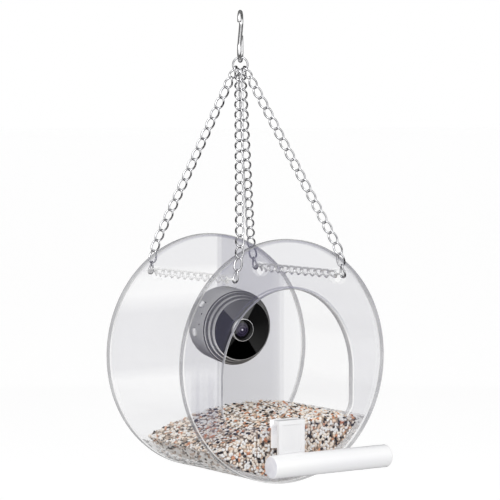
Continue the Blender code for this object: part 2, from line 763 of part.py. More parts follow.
def housing_profile():
    """A cup open to the front, with a rounded rear edge and a round pocket for the socket cup."""
    front = CAMERA_FRONT - BEZEL_DEPTH - TOUCH_GAP
    pocket = BALL_RADIUS + CUP_WALL + 2 * TOUCH_GAP
    bulge = pocket + CAMERA_WALL
    floor = CAMERA_REAR + CAMERA_WALL
    profile = arc((0, 0), bulge, math.pi / 2, math.asin(floor / bulge), BALL_STEPS)
    profile[0] = (0, bulge)
    profile += [
        (CAMERA_INNER_RADIUS, floor),
        (CAMERA_INNER_RADIUS, front),
        (CAMERA_RADIUS, front),
        (CAMERA_RADIUS, CAMERA_FRONT - CAMERA_LENGTH / 2),
    ]
    round_centre = (CAMERA_REAR_RADIUS - CAMERA_REAR_ROUND, CAMERA_REAR + CAMERA_REAR_ROUND)
    profile += arc(round_centre, CAMERA_REAR_ROUND, 0, -math.pi / 2, ROUND_STEPS)
    profile += arc((0, 0), pocket, math.asin(CAMERA_REAR / pocket), math.pi / 2, BALL_STEPS)
    profile[-1] = (0, pocket)
    return profile


def make_camera_housing():
    housing = turned(housing_profile())
    slot_width = SWITCH_WIDTH + 2 * CONTROL_FIT
    slot_length = SWITCH_LENGTH + SWITCH_TRAVEL + 2 * CONTROL_FIT
    slot = rounded_rectangle(slot_width, slot_length, SWITCH_CORNER + CONTROL_FIT)
    boolean(housing, side_cutter("switch_slot", slot, SWITCH_ANGLE, SWITCH_DEPTH))
    hole = rounded_rectangle(
        BUTTON_WIDTH + 2 * CONTROL_FIT, BUTTON_LENGTH + 2 * CONTROL_FIT, BUTTON_CORNER + CONTROL_FIT
    )
    boolean(housing, side_cutter("button_hole", hole, BUTTON_ANGLE, BUTTON_DEPTH))
    for number, angle in enumerate(PINHOLE_ANGLES, start=1):
        pinhole = circle((0, 0), PINHOLE_RADIUS, PINHOLE_SIDES)
        boolean(housing, side_cutter(f"pinhole_{number}", pinhole, angle, PINHOLE_DEPTH))
    finish(housing, "camera_housing", CAMERA_GREY, aim)


def make_camera_control(name, outline, angle, depth, proud):
    """A control that stands through the wall, from just inside it to just proud of it."""
    inner = CAMERA_INNER_RADIUS - CONTROL_ROOT
    outer = CAMERA_RADIUS + proud
    control = flat_outline([outline], outer - inner)
    on_camera_side(control, angle, depth, (inner + outer) / 2)
    finish(control, name, WHITE_PLASTIC, aim)


def make_camera_controls():
    make_camera_control(
        "camera_power_switch",
        rounded_rectangle(SWITCH_WIDTH, SWITCH_LENGTH, SWITCH_CORNER),
        SWITCH_ANGLE,
        SWITCH_DEPTH + SWITCH_TRAVEL / 2,
        SWITCH_PROUD,
    )
    make_camera_control(
        "camera_mode_button",
        rounded_rectangle(BUTTON_WIDTH, BUTTON_LENGTH, BUTTON_CORNER),
        BUTTON_ANGLE,
        BUTTON_DEPTH,
        BUTTON_PROUD,
    )


def make_camera_bezel():
    """A ring in three steps, widening to the rear, with a ledge that carries the glass."""
    bore = GLASS_RADIUS + TOUCH_GAP
    ledge = CAMERA_FRONT - GLASS_THICKNESS - TOUCH_GAP
    rear = CAMERA_FRONT - BEZEL_DEPTH
    first, second, third = BEZEL_STEP_RADII
    first_at, second_at, third_at = [CAMERA_FRONT - depth for depth in BEZEL_STEP_DEPTHS]
    profile = [
        (bore, CAMERA_FRONT),
        (first, first_at),
        (first, second_at),
        (second - BEZEL_EDGE, second_at),
        (second, second_at - BEZEL_EDGE),
        (second, third_at),
        (third - BEZEL_EDGE, third_at),
        (third, third_at - BEZEL_EDGE),
        (third, rear),
        (GLASS_RADIUS - BEZEL_LEDGE, rear),
        (GLASS_RADIUS - BEZEL_LEDGE, ledge),
        (bore, ledge),
    ]
    finish(turned(profile, closed=True), "camera_bezel", BEZEL_GREY, aim)


def tube_profile(outer, inner, top, bottom):
    return [(outer, top), (outer, bottom), (inner, bottom), (inner, top)]


def make_camera_glass():
    hole = LENS_RING_RADIUS + TOUCH_GAP
    profile = tube_profile(GLASS_RADIUS, hole, CAMERA_FRONT, CAMERA_FRONT - GLASS_THICKNESS)
    finish(turned(profile, closed=True), "camera_face_glass", BLACK_GLASS, aim)


def make_camera_lens():
    """A bright ring around a domed lens, on a barrel that stands on the circuit board."""
    ring_top = CAMERA_FRONT + LENS_RING_PROUD
    ring_bottom = ring_top - LENS_RING_LENGTH
    ring = tube_profile(LENS_RING_RADIUS, LENS_RING_RADIUS - LENS_RING_WALL, ring_top, ring_bottom)
    finish(turned(ring, closed=True, steps=SMALL_TURNED_STEPS), "camera_lens_ring", BRIGHT_METAL, aim)
    rim = CAMERA_FRONT - LENS_RECESS
    dome_radius = (LENS_RADIUS**2 + LENS_BULGE**2) / (2 * LENS_BULGE)
    dome_edge = math.asin((dome_radius - LENS_BULGE) / dome_radius)
    lens = arc((0, rim + LENS_BULGE - dome_radius), dome_radius, math.pi / 2, dome_edge, ROUND_STEPS)
    lens[0] = (0, rim + LENS_BULGE)
    lens += [(LENS_RADIUS, rim - LENS_LENGTH), (0, rim - LENS_LENGTH)]
    finish(turned(lens, steps=SMALL_TURNED_STEPS), "camera_lens", LENS_VIOLET, aim)
    board_top = CAMERA_FRONT - BOARD_DEPTH
    barrel = tube_profile(
        BARREL_RADIUS, BARREL_RADIUS - BARREL_WALL, ring_bottom - TOUCH_GAP, board_top + TOUCH_GAP
    )
    finish(turned(barrel, closed=True, steps=SMALL_TURNED_STEPS), "camera_lens_barrel", BLACK_PLASTIC, aim)


def make_camera_insides():
    """The sensor and the battery on the two sides of a round circuit board."""
    board_top = CAMERA_FRONT - BOARD_DEPTH
    board = cylinder(
        CAMERA_INNER_RADIUS - TOUCH_GAP,
        BOARD_THICKNESS,
        TURNED_STEPS,
        location=(0, 0, board_top - BOARD_THICKNESS / 2),
    )
    finish(board, "camera_circuit_board", BOARD_GREEN, aim)
    sensor = box(
        (SENSOR_SIDE, SENSOR_SIDE, SENSOR_THICKNESS),
        location=(0, 0, board_top + TOUCH_GAP + SENSOR_THICKNESS / 2),
    )
    finish(sensor, "camera_image_sensor", SENSOR_BLACK, aim)
    battery = box(
        (BATTERY_SIDE, BATTERY_SIDE, BATTERY_THICKNESS),
        location=(0, 0, board_top - BOARD_THICKNESS - TOUCH_GAP - BATTERY_THICKNESS / 2),
    )
    bevel(battery, BATTERY_EDGE)
    finish(battery, "camera_battery", BATTERY_FOIL, aim)


make_hanger_hook()
make_gathering_ring()
make_chains()
make_plates()
make_side_wall()
make_seed_fill()
make_perch_clip()
make_perch_rod()
make_camera_stand()
make_camera_cup()
make_camera_housing()
make_camera_controls()
make_camera_bezel()
make_camera_glass()
make_camera_lens()
make_camera_insides()
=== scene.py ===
"""The hanging bird feeder with its round camera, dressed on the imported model."""

import json
import math

import bmesh
import bpy
import numpy as np
from mathutils import Matrix, Vector


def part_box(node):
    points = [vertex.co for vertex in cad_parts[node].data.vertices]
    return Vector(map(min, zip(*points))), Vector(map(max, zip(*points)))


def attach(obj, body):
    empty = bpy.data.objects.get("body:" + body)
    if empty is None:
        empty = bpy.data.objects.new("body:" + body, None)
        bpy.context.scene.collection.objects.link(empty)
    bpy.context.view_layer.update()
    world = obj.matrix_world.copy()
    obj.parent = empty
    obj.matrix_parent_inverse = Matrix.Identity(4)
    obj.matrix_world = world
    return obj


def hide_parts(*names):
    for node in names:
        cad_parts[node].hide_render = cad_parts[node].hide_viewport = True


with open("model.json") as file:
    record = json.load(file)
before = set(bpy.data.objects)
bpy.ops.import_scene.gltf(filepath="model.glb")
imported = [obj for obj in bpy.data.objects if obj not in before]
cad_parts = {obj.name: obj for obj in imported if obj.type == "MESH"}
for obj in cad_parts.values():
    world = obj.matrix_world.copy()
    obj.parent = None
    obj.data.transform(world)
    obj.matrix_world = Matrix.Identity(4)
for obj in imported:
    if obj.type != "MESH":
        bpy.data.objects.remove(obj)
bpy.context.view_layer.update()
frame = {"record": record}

QUARTER = math.pi / 2
RIGHT = Vector((1, 0, 0))
BACK = Vector((0, 1, 0))
UP = Vector((0, 0, 1))
UPRIGHT = Matrix.Rotation(QUARTER, 4, "X")

# Photograph's camera, from the drum's centre
LENS_MM = 165.9
SENSOR_MM = 36.0
CAMERA_PLACE = Vector((-0.80494, -1.19462, 0.15063))
CAMERA_HEADING = math.radians(34.08)
CAMERA_DIP = math.radians(3.35)

# Room: floor below the feeder, plain light, dark cloth that only shiny surfaces show
FLOOR_DROP = 0.20
FLOOR_SIZE = 60.0
FLOOR_GLOW = 0.35
WHITE = (1, 1, 1, 1)
SKY_STRENGTH = 0.78
LAMP_DISTANCE = 1.6
TENT_RADIUS = 2.2
SCREEN_RADIUS = 0.9 * TENT_RADIUS
TENT_MOUTH = (-0.56, -0.83, 0.42)
TENT_TURNS = [math.radians(60 + 120 * i / 24) for i in range(25)]
SCREEN_START = math.radians(-88)
SCREEN_END = math.radians(-76)

# Acrylic plates and wall
PLATE_CHAMFER = 0.0006
REFRACTED_DEPTH = 0.0030
PLATE_POINTS = 192
SILL_EDGE_TOP = -0.036
FAR_EDGE_RIGHT = -0.022
OPENING_HALF_WIDTH = 0.0484
OPENING_ARCH_HEIGHT = 0.0528
OPENING_OFFSET = 0.0022
OPENING_DROP = 0.0086
OPENING_SIDE_HEIGHT = 0.0301
OPENING_CORNER_RADIUS = 0.012
HOLE_RADIUS = 0.0042
HOLE_PITCH_RADIUS = 0.0649
HOLE_ANGLE = math.radians(38.5)
WALL_THICKNESS = 0.003
WALL_OPEN_ANGLE = math.radians(44)

# Painted reflection and painted shade on the clear sheets, by height above the drum's centre or by share of a
# radius
SHADE_LOW = -0.047
SHADE_LEVEL = -0.040
EDGE_LOW = -0.0385
EDGE_LEVEL = -0.030
RIM_SHADE = ((0.968, 0), (0.982, 0.24))
RIM_SHADE_HEIGHTS = ((0.035, 0), (0.066, 1))
ARCH_SHADE_REACH = 1.1
ARCH_SHADE_SHARES = (0.905, 0.908, 0.936, 0.942)
ARCH_SHADE_HEIGHTS = ((0.010, 0), (0.036, 1))
FRONT_ARCH_SHADE = 0.30

# Seeds. The thick wall stretches those behind it along one direction, which its outer face shows as a painted
# view of the seeds.
SEEDS_STRETCHED = Vector((0.36, 0.86, -0.36)).normalized()
SEED_STRETCH = 3.5
SEED_CROWN_DEPTH = 0.0350
SEED_CROWN_RADIUS = 0.200
SEED_CROWN_OFFSET = 0.030
SEED_SLOPE = math.radians(1.4)
SEED_LUMP_SPACING = 0.010
SEED_LUMP_HEIGHT = 0.0011
SEED_LUMP_DRIFT_SHARES = (0.37, 0.29)
SEED_SPACING = 0.0019
SEED_SIZE = (0.00138, 0.00098, 0.00084)
SEED_SIZE_SHARES = (0.72, 1.12)
BLACK_SEED_SHARES = (1.12, 0.85, 0.9)
SEED_TAPER = 0.18
SEED_LEAN = 0.35
SEED_STRAY = 0.4
SEED_SINK_SHARES = (-0.8, 0.25)
SEED_INSET = 0.0009
SEED_LAYER = 1.2 * SEED_INSET
SEED_SHARES = (0.31, 0.37, 0.08, 0.08, 0.16)
SEED_COLOURS = {
    "seed_cream": ((0.92, 0.78, 0.66), (1.0, 0.95, 0.87)),
    "seed_white": ((0.95, 0.93, 0.91), (1.0, 1.0, 1.0)),
    "seed_tan": ((0.62, 0.42, 0.29), (0.95, 0.74, 0.58)),
    "seed_rust": ((0.46, 0.15, 0.07), (0.85, 0.44, 0.26)),
    "seed_black": ((0.006, 0.005, 0.006), (0.035, 0.03, 0.035)),
}

# Perch and its clip
PERCH_ROUND = 0.0012
CLIP_LEG = 0.0175
REAR_LEG_GLOW = 0.34

# Hook, ring and chain
TIP_RISE = 0.6
HOOK_WIRE = 0.0026
HOOK_TOP_BEND_RADIUS = 0.0055
HOOK_LOW_BEND_RADIUS = 0.0062
HOOK_TIP_DROP = 0.0008
HOOK_RETURN_RISE = 0.0095
HOOK_RETURN_INSET = 0.0015
RING_WIRE = 0.0012
LINK_WIRE = 0.00115
LINK_PITCH = 0.0072
LINK_WIDTH = 0.0058
LINK_PLAY = 0.0010
LINK_ROUNDNESS = (0.86, 0.80)
OPEN_TOWARDS = Vector((-0.56, -0.83, 0))
TWIST_LINKS = 2
STRAND_ANGLES = {"back_left": -49, "front_left": -13, "back_right": 13, "front_right": 49}
RIM_ANGLE = math.radians(29)
RIM_RISE = 0.0015
RIM_STANDOFF = 0.0006
TOUCH_GAP = 0.0003

# Camera on its aim, measured forward from the ball's centre
CAMERA_FRONT = 0.0315
CAMERA_RADIUS = 0.02375
CAMERA_REAR_RADIUS = 0.0234
CAMERA_LENGTH = 0.0295
CAMERA_REAR_ROUND = 0.0012
CAMERA_WALL = 0.0018
CASE_ROUND = 0.0006
SOCKET_RADIUS = 0.0073
BEZEL_DEPTH = 0.0070
BEZEL_ROUND = 0.0005
BEZEL_STEPS = ((0.0212, 0.0028, 0.0056), (0.0230, 0.0058, BEZEL_DEPTH))
LIP_RADIUS = 0.0196
LIP_ROUND = 0.0003
LIP_HEIGHT = 0.0026
LEDGE_WIDTH = 0.0014
LEDGE_DEPTH = 0.0015
GLASS_RADIUS = 0.0189
GLASS_THICKNESS = 0.0012
GLASS_ROUND = 0.0003
LENS_RING_RADIUS = 0.0072
LENS_RING_PROUD = 0.0018
LENS_RING_HEIGHT = 0.0041
LENS_RING_WALL = 0.0014
LENS_RING_FUNNEL = 0.0016
LENS_RING_ROUND = 0.0004
LENS_RADIUS = 0.0055
LENS_SEAT_DEPTH = 0.0006
LENS_RISE = 0.0009
LENS_THICKNESS = 0.0016
LENS_DOME_RADIUS = 0.0173
LENS_DOME_ANGLE = 0.325
CONTROL_CHAMFER = 0.00035
CONTROL_OVERLAP = 0.0008
SWITCH_ANGLE = math.radians(144)
SWITCH_DEPTH = 0.0182
SWITCH_SIZE = (0.0040, 0.0030)
SWITCH_TRAVEL = 0.0020
SWITCH_PROUD = 0.0007
SWITCH_CORNER_RADIUS = 0.0005
SLOT_CORNER_RADIUS = 0.0008
BUTTON_ANGLE = math.radians(189)
BUTTON_DEPTH = 0.0194
BUTTON_SIZE = (0.0050, 0.0030)
BUTTON_PROUD = 0.0009
BUTTON_CORNER_RADIUS = 0.0014
BUTTON_HOLE_CORNER_RADIUS = 0.0017
PINHOLE_ANGLES = (math.radians(158), math.radians(175))
PINHOLE_DEPTH = 0.0134
PINHOLE_RADIUS = 0.0006


def corners(node):
    low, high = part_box(node)
    return Vector(low), Vector(high)


FRONT_LOW, FRONT_HIGH = corners("front_plate")
BACK_LOW, BACK_HIGH = corners("back_plate")
DRUM = (FRONT_LOW + BACK_HIGH) / 2
PLATE_RADIUS = (FRONT_HIGH.x - FRONT_LOW.x) / 2
PLATE_THICKNESS = FRONT_HIGH.y - FRONT_LOW.y
PLATE_INNER = BACK_LOW.y - DRUM.y
PLATE_OUTER = BACK_HIGH.y - DRUM.y
WALL_LOW, WALL_HIGH = corners("side_wall")
WALL_RADIUS = (WALL_HIGH.x - WALL_LOW.x) / 2
CLIP_LOW, CLIP_HIGH = corners("perch_clip")
JOINTS = {joint["name"]: joint for joint in frame["record"]["behaviour"]["joints"]}
BALL = Vector(JOINTS["camera_tilt"]["pos_m"])
CAMERA_TILT = math.radians(4.7)
CAMERA_PAN = math.radians(6.8)
AIM = (
    Matrix.Translation(BALL)
    @ Matrix.Rotation(-CAMERA_PAN, 4, "Z")
    @ Matrix.Rotation(QUARTER + CAMERA_TILT, 4, "X")
)


# Shapes

def arc(centre, radius, start, end, steps):
    """Points on an arc in a plane, both ends included."""
    points = []
    for i in range(steps + 1):
        angle = start + (end - start) * i / steps
        points.append((centre[0] + radius * math.cos(angle), centre[1] + radius * math.sin(angle)))
    return points


def circle(centre, radius, sides):
    return arc(centre, radius, 0, 2 * math.pi, sides)[:-1]


def put(name, data):
    """A new object in the scene."""
    obj = bpy.data.objects.new(name, data)
    bpy.context.scene.collection.objects.link(obj)
    return obj


def add(name, mesh, surfaces, body, node, smooth_angle=35, matrix=Matrix.Identity(4)):
    """Puts a mesh in the scene as a finished piece on a body, in place of a CAD node."""
    mesh.transform(matrix)
    obj = put(name, mesh)
    for surface in surfaces:
        mesh.materials.append(SURFACES[surface])
    mesh.shade_smooth()
    mesh.set_sharp_from_angle(angle=math.radians(smooth_angle))
    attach(obj, body)
    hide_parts(node)


def sort_faces(mesh, test):
    """Gives each face material slot 1 where a test holds, and slot 0 elsewhere."""
    for face in mesh.polygons:
        face.material_index = int(test(face))


def mesh_of(points, faces, name="shape"):
    mesh = bpy.data.meshes.new(name)
    mesh.from_pydata([tuple(point) for point in points], [], faces)
    return mesh


def joined(meshes):
    """One mesh of several, which keep their material slots' numbers."""
    whole = bmesh.new()
    for mesh in meshes:
        whole.from_mesh(mesh)
        bpy.data.meshes.remove(mesh)
    made = bpy.data.meshes.new("joined")
    whole.to_mesh(made)
    whole.free()
    return made


def turned(profile, steps=96, closed=False):
    """A turned mesh about Z, from (radius, height) points that run down its outer side."""
    points, rings = [], []
    for radius, height in profile:
        if radius < 1e-9:
            rings.append([len(points)] * steps)
            points.append((0, 0, height))
        else:
            rings.append(list(range(len(points), len(points) + steps)))
            for i in range(steps):
                angle = 2 * math.pi * i / steps
                points.append((radius * math.cos(angle), radius * math.sin(angle), height))
    faces = []
    pairs = list(zip(rings, rings[1:]))
    if closed:
        pairs.append((rings[-1], rings[0]))
    for above, below in pairs:
        for i in range(steps):
            j = (i + 1) % steps
            face = [above[i], below[i], below[j], above[j]]
            distinct = list(dict.fromkeys(face))
            if len(distinct) > 2:
                faces.append(distinct)
    return mesh_of(points, faces)


def tube(points, radius, sides=12, closed=False):
    """A round tube through points, with domed ends where it is open."""
    count = len(points)
    tangents = []
    for i in range(count):
        before = points[i - 1] if closed or i else points[i]
        after = points[(i + 1) % count] if closed or i < count - 1 else points[i]
        tangents.append((after - before).normalized())
    side = tangents[0].orthogonal().normalized()
    sides_at = []
    for i in range(count):
        if i:
            side = tangents[i - 1].rotation_difference(tangents[i]) @ side
        sides_at.append(side.copy())
    twist = 0.0
    if closed:
        last = tangents[-1].rotation_difference(tangents[0]) @ sides_at[-1]
        across = tangents[0].cross(sides_at[0])
        twist = math.atan2(last.dot(across), last.dot(sides_at[0]))
    made, faces = [], []
    for i, point in enumerate(points):
        first = Matrix.Rotation(-twist * i / count, 3, tangents[i]) @ sides_at[i]
        second = tangents[i].cross(first)
        for j in range(sides):
            angle = 2 * math.pi * j / sides
            made.append(point + (first * math.cos(angle) + second * math.sin(angle)) * radius)
    for i in range(count if closed else count - 1):
        for j in range(sides):
            k = (j + 1) % sides
            n = (i + 1) % count
            faces.append([i * sides + j, i * sides + k, n * sides + k, n * sides + j])
    if not closed:
        for end, ring, sign in ((0, 0, -1), (count - 1, (count - 1) * sides, 1)):
            tip = len(made)
            made.append(points[end] + tangents[end] * radius * TIP_RISE * sign)
            for j in range(sides):
                k = (j + 1) % sides
                pair = [ring + j, ring + k] if sign > 0 else [ring + k, ring + j]
                faces.append(pair + [tip])
    return mesh_of(made, faces)


def slab(loops, thickness, chamfer, steps=2):
    """A flat sheet with holes. Slot 0 is its faces, slot 1 its edges and slot 2 its chamfers."""
    curve = bpy.data.curves.new("slab", "CURVE")
    curve.dimensions = "2D"
    curve.fill_mode = "BOTH"
    curve.extrude = thickness / 2 - chamfer
    curve.bevel_depth = chamfer
    curve.bevel_resolution = steps
    curve.offset = -chamfer
    for points in loops:
        spline = curve.splines.new("POLY")
        spline.points.add(len(points) - 1)
        spline.use_cyclic_u = True
        for point, (x, y) in zip(spline.points, points):
            point.co = (x, y, 0, 1)
    obj = put("slab", curve)
    bpy.context.view_layer.update()
    mesh = bpy.data.meshes.new_from_object(obj.evaluated_get(bpy.context.evaluated_depsgraph_get()))
    bpy.data.objects.remove(obj)
    mesh.materials.clear()
    shape = bmesh.new()
    shape.from_mesh(mesh)
    bmesh.ops.remove_doubles(shape, verts=shape.verts, dist=chamfer / 50)
    shape.normal_update()
    level, upright = 0.98, 0.15
    for face in shape.faces:
        lean = abs(face.normal.z)
        face.material_index = 0 if lean > level else 1 if lean < upright else 2
    shape.to_mesh(mesh)
    shape.free()
    return mesh


def rounded_rectangle(width, length, radius, steps=5):
    across, lengthwise = width / 2 - radius, length / 2 - radius
    centres = ((across, lengthwise), (-across, lengthwise), (-across, -lengthwise), (across, -lengthwise))
    points = []
    for quarter, centre in enumerate(centres):
        points += arc(centre, radius, quarter * QUARTER, (quarter + 1) * QUARTER, steps)
    return points


def cut(mesh, cutters):
    """The mesh less the cutter meshes."""
    base = put("base", mesh)
    others = [put("cutter", cutter) for cutter in cutters]
    for other in others:
        modifier = base.modifiers.new("cut", "BOOLEAN")
        modifier.solver = "EXACT"
        modifier.object = other
    bpy.context.view_layer.update()
    made = bpy.data.meshes.new_from_object(base.evaluated_get(bpy.context.evaluated_depsgraph_get()))
    for obj in [base] + others:
        bpy.data.objects.remove(obj)
    return made


# Surfaces

SURFACES = {}


class Nodes:
    """A node tree with the steps that its patterns are built from."""

    def __init__(self, owner):
        owner.use_nodes = True
        self.tree = owner.node_tree

    def node(self, kind, **settings):
        """A new node. A setting is one of its options or one of its sockets, in small letters."""
        made = self.tree.nodes.new(kind)
        for name, value in settings.items():
            if hasattr(made, name):
                setattr(made, name, value)
            else:
                made.inputs[name.replace("_", " ").title()].default_value = value
        return made

    def link(self, source, target):
        self.tree.links.new(source, target)

    def sums(self, operation, first, second):
        """A sum of two values, each a socket or a number."""
        made = self.node("ShaderNodeMath", operation=operation)
        for socket, value in zip(made.inputs, (first, second)):
            if isinstance(value, (int, float)):
                socket.default_value = value
            else:
                self.link(value, socket)
        return made.outputs["Value"]

    def product(self, first, second):
        return self.sums("MULTIPLY", first, second)

    def total(self, first, second):
        return self.sums("ADD", first, second)


class Surface(Nodes):
    """A material with one Principled shader, which SURFACES keeps under its name."""

    def __init__(self, name, colour, roughness, **sockets):
        self.material = bpy.data.materials.new(name)
        super().__init__(self.material)
        SURFACES[name] = self.material
        self.shader = self.tree.nodes["Principled BSDF"]
        self.shader.inputs["Base Color"].default_value = (*colour, 1.0)
        self.shader.inputs["Roughness"].default_value = roughness
        for socket, value in sockets.items():
            self.shader.inputs[socket.replace("_", " ").title().replace("Ior", "IOR")].default_value = value

    def drive(self, target, value):
        self.link(value, self.shader.inputs[target])

    def place(self):
        """Each point's place on the object."""
        return self.node("ShaderNodeTexCoord").outputs["Object"]

    def noise(self, scale, detail=2.0, stretch=None):
        noise = self.node("ShaderNodeTexNoise", scale=scale, detail=detail)
        place = self.place()
        if stretch:
            mapping = self.node("ShaderNodeMapping", scale=stretch)
            self.link(place, mapping.inputs["Vector"])
            place = mapping.outputs["Vector"]
        self.link(place, noise.inputs["Vector"])
        return noise.outputs["Fac"]

    def ramp(self, value, stops):
        """Colours or levels along a value, from (place, colour or level) stops."""
        ramp = self.node("ShaderNodeValToRGB")
        elements = ramp.color_ramp.elements
        while len(elements) > 1:
            elements.remove(elements[-1])
        for i, (place, shade) in enumerate(stops):
            element = elements[0] if i == 0 else elements.new(place)
            element.position = place
            element.color = (*shade, 1.0) if isinstance(shade, tuple) else (shade, shade, shade, 1.0)
        self.link(value, ramp.inputs["Fac"])
        return ramp.outputs["Color"]

    def colour(self, value, stops):
        self.drive("Base Color", self.ramp(value, stops))

    def drift(self, scale, stops, target="Base Color", detail=2.0, stretch=None):
        """Lets a socket drift with a noise pattern, from (place, colour or level) stops."""
        self.drive(target, self.ramp(self.noise(scale, detail, stretch), stops))

    def bump(self, scale, strength, distance, detail=2.0):
        """Roughens the surface with a noise pattern."""
        bump = self.node("ShaderNodeBump", strength=strength, distance=distance)
        self.link(self.noise(scale, detail), bump.inputs["Height"])
        self.drive("Normal", bump.outputs["Normal"])

    def spread(self, value, low, high):
        """A value laid out from 0 at its low end to 1 at its high end."""
        made = self.node("ShaderNodeMapRange", from_min=low, from_max=high)
        self.link(value, made.inputs["Value"])
        return made.outputs["Result"]

    def along(self, axis, place=None):
        """How far a place lies along an axis, times the axis's own length."""
        dot = self.node("ShaderNodeVectorMath", operation="DOT_PRODUCT")
        self.link(place or self.place(), dot.inputs[0])
        dot.inputs[1].default_value = axis
        return dot.outputs["Value"]

    def laid_along(self, axes):
        """A place's distances along three axes."""
        combined = self.node("ShaderNodeCombineXYZ")
        for axis, socket in zip(axes, combined.inputs):
            self.link(self.along(axis), socket)
        return combined.outputs["Vector"]

    def across_drum(self, axis, stops):
        """Levels across the plates along an axis, from (distance from the drum's centre, level) stops."""
        low, high = DRUM.dot(axis) - PLATE_RADIUS, DRUM.dot(axis) + PLATE_RADIUS
        shares = [((place + PLATE_RADIUS) / (2 * PLATE_RADIUS), level) for place, level in stops]
        return self.ramp(self.spread(self.along(axis), low, high), shares)

    def sides_of(self, matrix):
        """A place's distances along a matrix's X and Y axes."""
        away = self.node("ShaderNodeVectorMath", operation="SUBTRACT")
        self.link(self.place(), away.inputs[0])
        away.inputs[1].default_value = matrix.translation
        return [self.along(matrix.col[axis][:3], away.outputs["Vector"]) for axis in range(2)]

    def around(self, matrix):
        """The angle about a matrix's Z axis, from 0 to 1, counted from its -X side."""
        first, second = self.sides_of(matrix)
        return self.spread(self.sums("ARCTAN2", second, first), -math.pi, math.pi)

    def reach(self, matrix, radius):
        """The distance from a matrix's Z axis, as a share of a radius."""
        first, second = self.sides_of(matrix)
        squares = self.total(self.product(first, first), self.product(second, second))
        return self.spread(self.sums("SQRT", squares, 0.0), 0.0, radius)


def acrylic_face(name, bands, streaks, heights, arch_shade=0.0):
    """A clear sheet's face, tinted with painted reflection in upright bands, painted haze in streaks that
    change with the height, and painted shade along its rim and the opening's arch above.
    """
    surface = Surface(name, (0.17, 0.165, 0.27), 0.06)
    # Upright bands of painted reflection, weaker low down in front of the seeds
    over_seeds = surface.across_drum(UP, [(SHADE_LOW, 0.3), (SHADE_LEVEL, 1)])
    shades = surface.product(surface.across_drum(RIGHT, bands), over_seeds)
    # Painted haze in streaks, which come and go with the height
    painted_haze = surface.product(surface.across_drum(RIGHT, streaks), surface.across_drum(UP, heights))
    # Painted shade: a dim ring along the plate's rim, towards the top
    rim = surface.ramp(surface.reach(Matrix.Translation(DRUM) @ UPRIGHT, PLATE_RADIUS), RIM_SHADE)
    rim = surface.product(rim, surface.across_drum(UP, RIM_SHADE_HEIGHTS))
    # Painted shade: a dim ring just outside the opening's arch, towards the top
    arch_place = Matrix.Translation(DRUM + Vector((OPENING_OFFSET, 0, -OPENING_DROP))) @ UPRIGHT
    arch_place = arch_place @ Matrix.Diagonal((1 / OPENING_HALF_WIDTH, 1 / OPENING_ARCH_HEIGHT, 1, 1))
    arch_levels = zip(ARCH_SHADE_SHARES, (0, arch_shade, arch_shade, 0))
    arch = surface.ramp(surface.reach(arch_place, ARCH_SHADE_REACH), arch_levels)
    arch = surface.product(arch, surface.across_drum(UP, ARCH_SHADE_HEIGHTS))
    tints = surface.total(surface.total(shades, painted_haze), surface.total(rim, arch))
    surface.drive("Alpha", tints)


def make_face_surfaces():
    # Front face: painted reflection nearly even across, a little less on the right, and painted haze in two
    # streaks near the left rim, from the seeds up to about the drum's centre
    acrylic_face(
        "clear_front_face",
        [(-PLATE_RADIUS, 0.11), (0.052, 0.09), (0.064, 0.09), (PLATE_RADIUS, 0.08)],
        [
            (-0.067, 0), (-0.0655, 1), (-0.061, 1), (-0.060, 0.1), (-0.058, 0.1), (-0.057, 1), (-0.0505, 0.8),
            (-0.0495, 0),
        ],
        [(SHADE_LOW, 0.02), (SHADE_LEVEL, 0.10), (-0.012, 0.10), (0.002, 0)],
        FRONT_ARCH_SHADE,
    )
    # Back face: an upright band of painted reflection from just right of the middle, its left edge sharp, and
    # painted haze over the left side, changing with the height
    acrylic_face(
        "clear_back_face",
        [(0.0078, 0), (0.0086, 0.26), (0.050, 0.23), (0.0565, 0.17), (0.058, 0.08), (PLATE_RADIUS, 0.05)],
        [(0.0078, 1), (0.0084, 0)],
        [
            (-0.060, 0.05), (-0.040, 0.05), (-0.028, 0.01), (-0.016, 0.01), (-0.008, 0.10), (0.026, 0.115),
            (0.038, 0.01), (0.048, 0.01), (0.056, 0.09), (PLATE_RADIUS, 0.09),
        ],
    )


def make_edge_surfaces():
    Surface("clear_rim", (0.30, 0.30, 0.32), 0.15).drift(60, [(0.35, 0.52), (0.65, 0.64)], "Alpha")
    Surface("clear_hole_wall", (0.62, 0.62, 0.64), 0.15).drift(60, [(0.35, 0.02), (0.65, 0.06)], "Alpha")
    # Painted shade on the opening's cut edge: nearly clear by the seeds, greyer higher up
    opening = Surface("clear_cut_edge", (0.44, 0.44, 0.46), 0.15)
    height = opening.across_drum(UP, [(EDGE_LOW, 0.12), (EDGE_LEVEL, 0.62), (0.0, 0.84)])
    grain = opening.ramp(opening.noise(60), [(0.35, 0.92), (0.65, 1.0)])
    opening.drive("Alpha", opening.product(height, grain))
    # Painted shade on the opening's left cut edge, near the front face where it is seen refracted, nearly
    # clear by the seeds and greyer higher up
    far = Surface("clear_far_edge", (0.46, 0.46, 0.48), 0.15)
    depth = far.spread(far.along(BACK), FRONT_LOW.y, FRONT_LOW.y + 2 * REFRACTED_DEPTH)
    near = far.ramp(depth, [(0.46, 0.80), (0.52, 0.0)])
    height = far.across_drum(UP, [(EDGE_LOW, 0.1), (EDGE_LEVEL, 0.6), (-0.015, 1.0)])
    far.drive("Alpha", far.product(near, height))
    # Painted light and shade on the chamfers: pale low down, grey towards the top
    chamfer = Surface("clear_chamfer", (0.9, 0.9, 0.92), 0.1)
    chamfer.drive("Base Color", chamfer.across_drum(UP, [(0.010, 0.95), (0.034, 0.42), (0.062, 0.38)]))
    chamfer.drift(40, [(0.35, 0.50), (0.65, 0.70)], "Alpha")


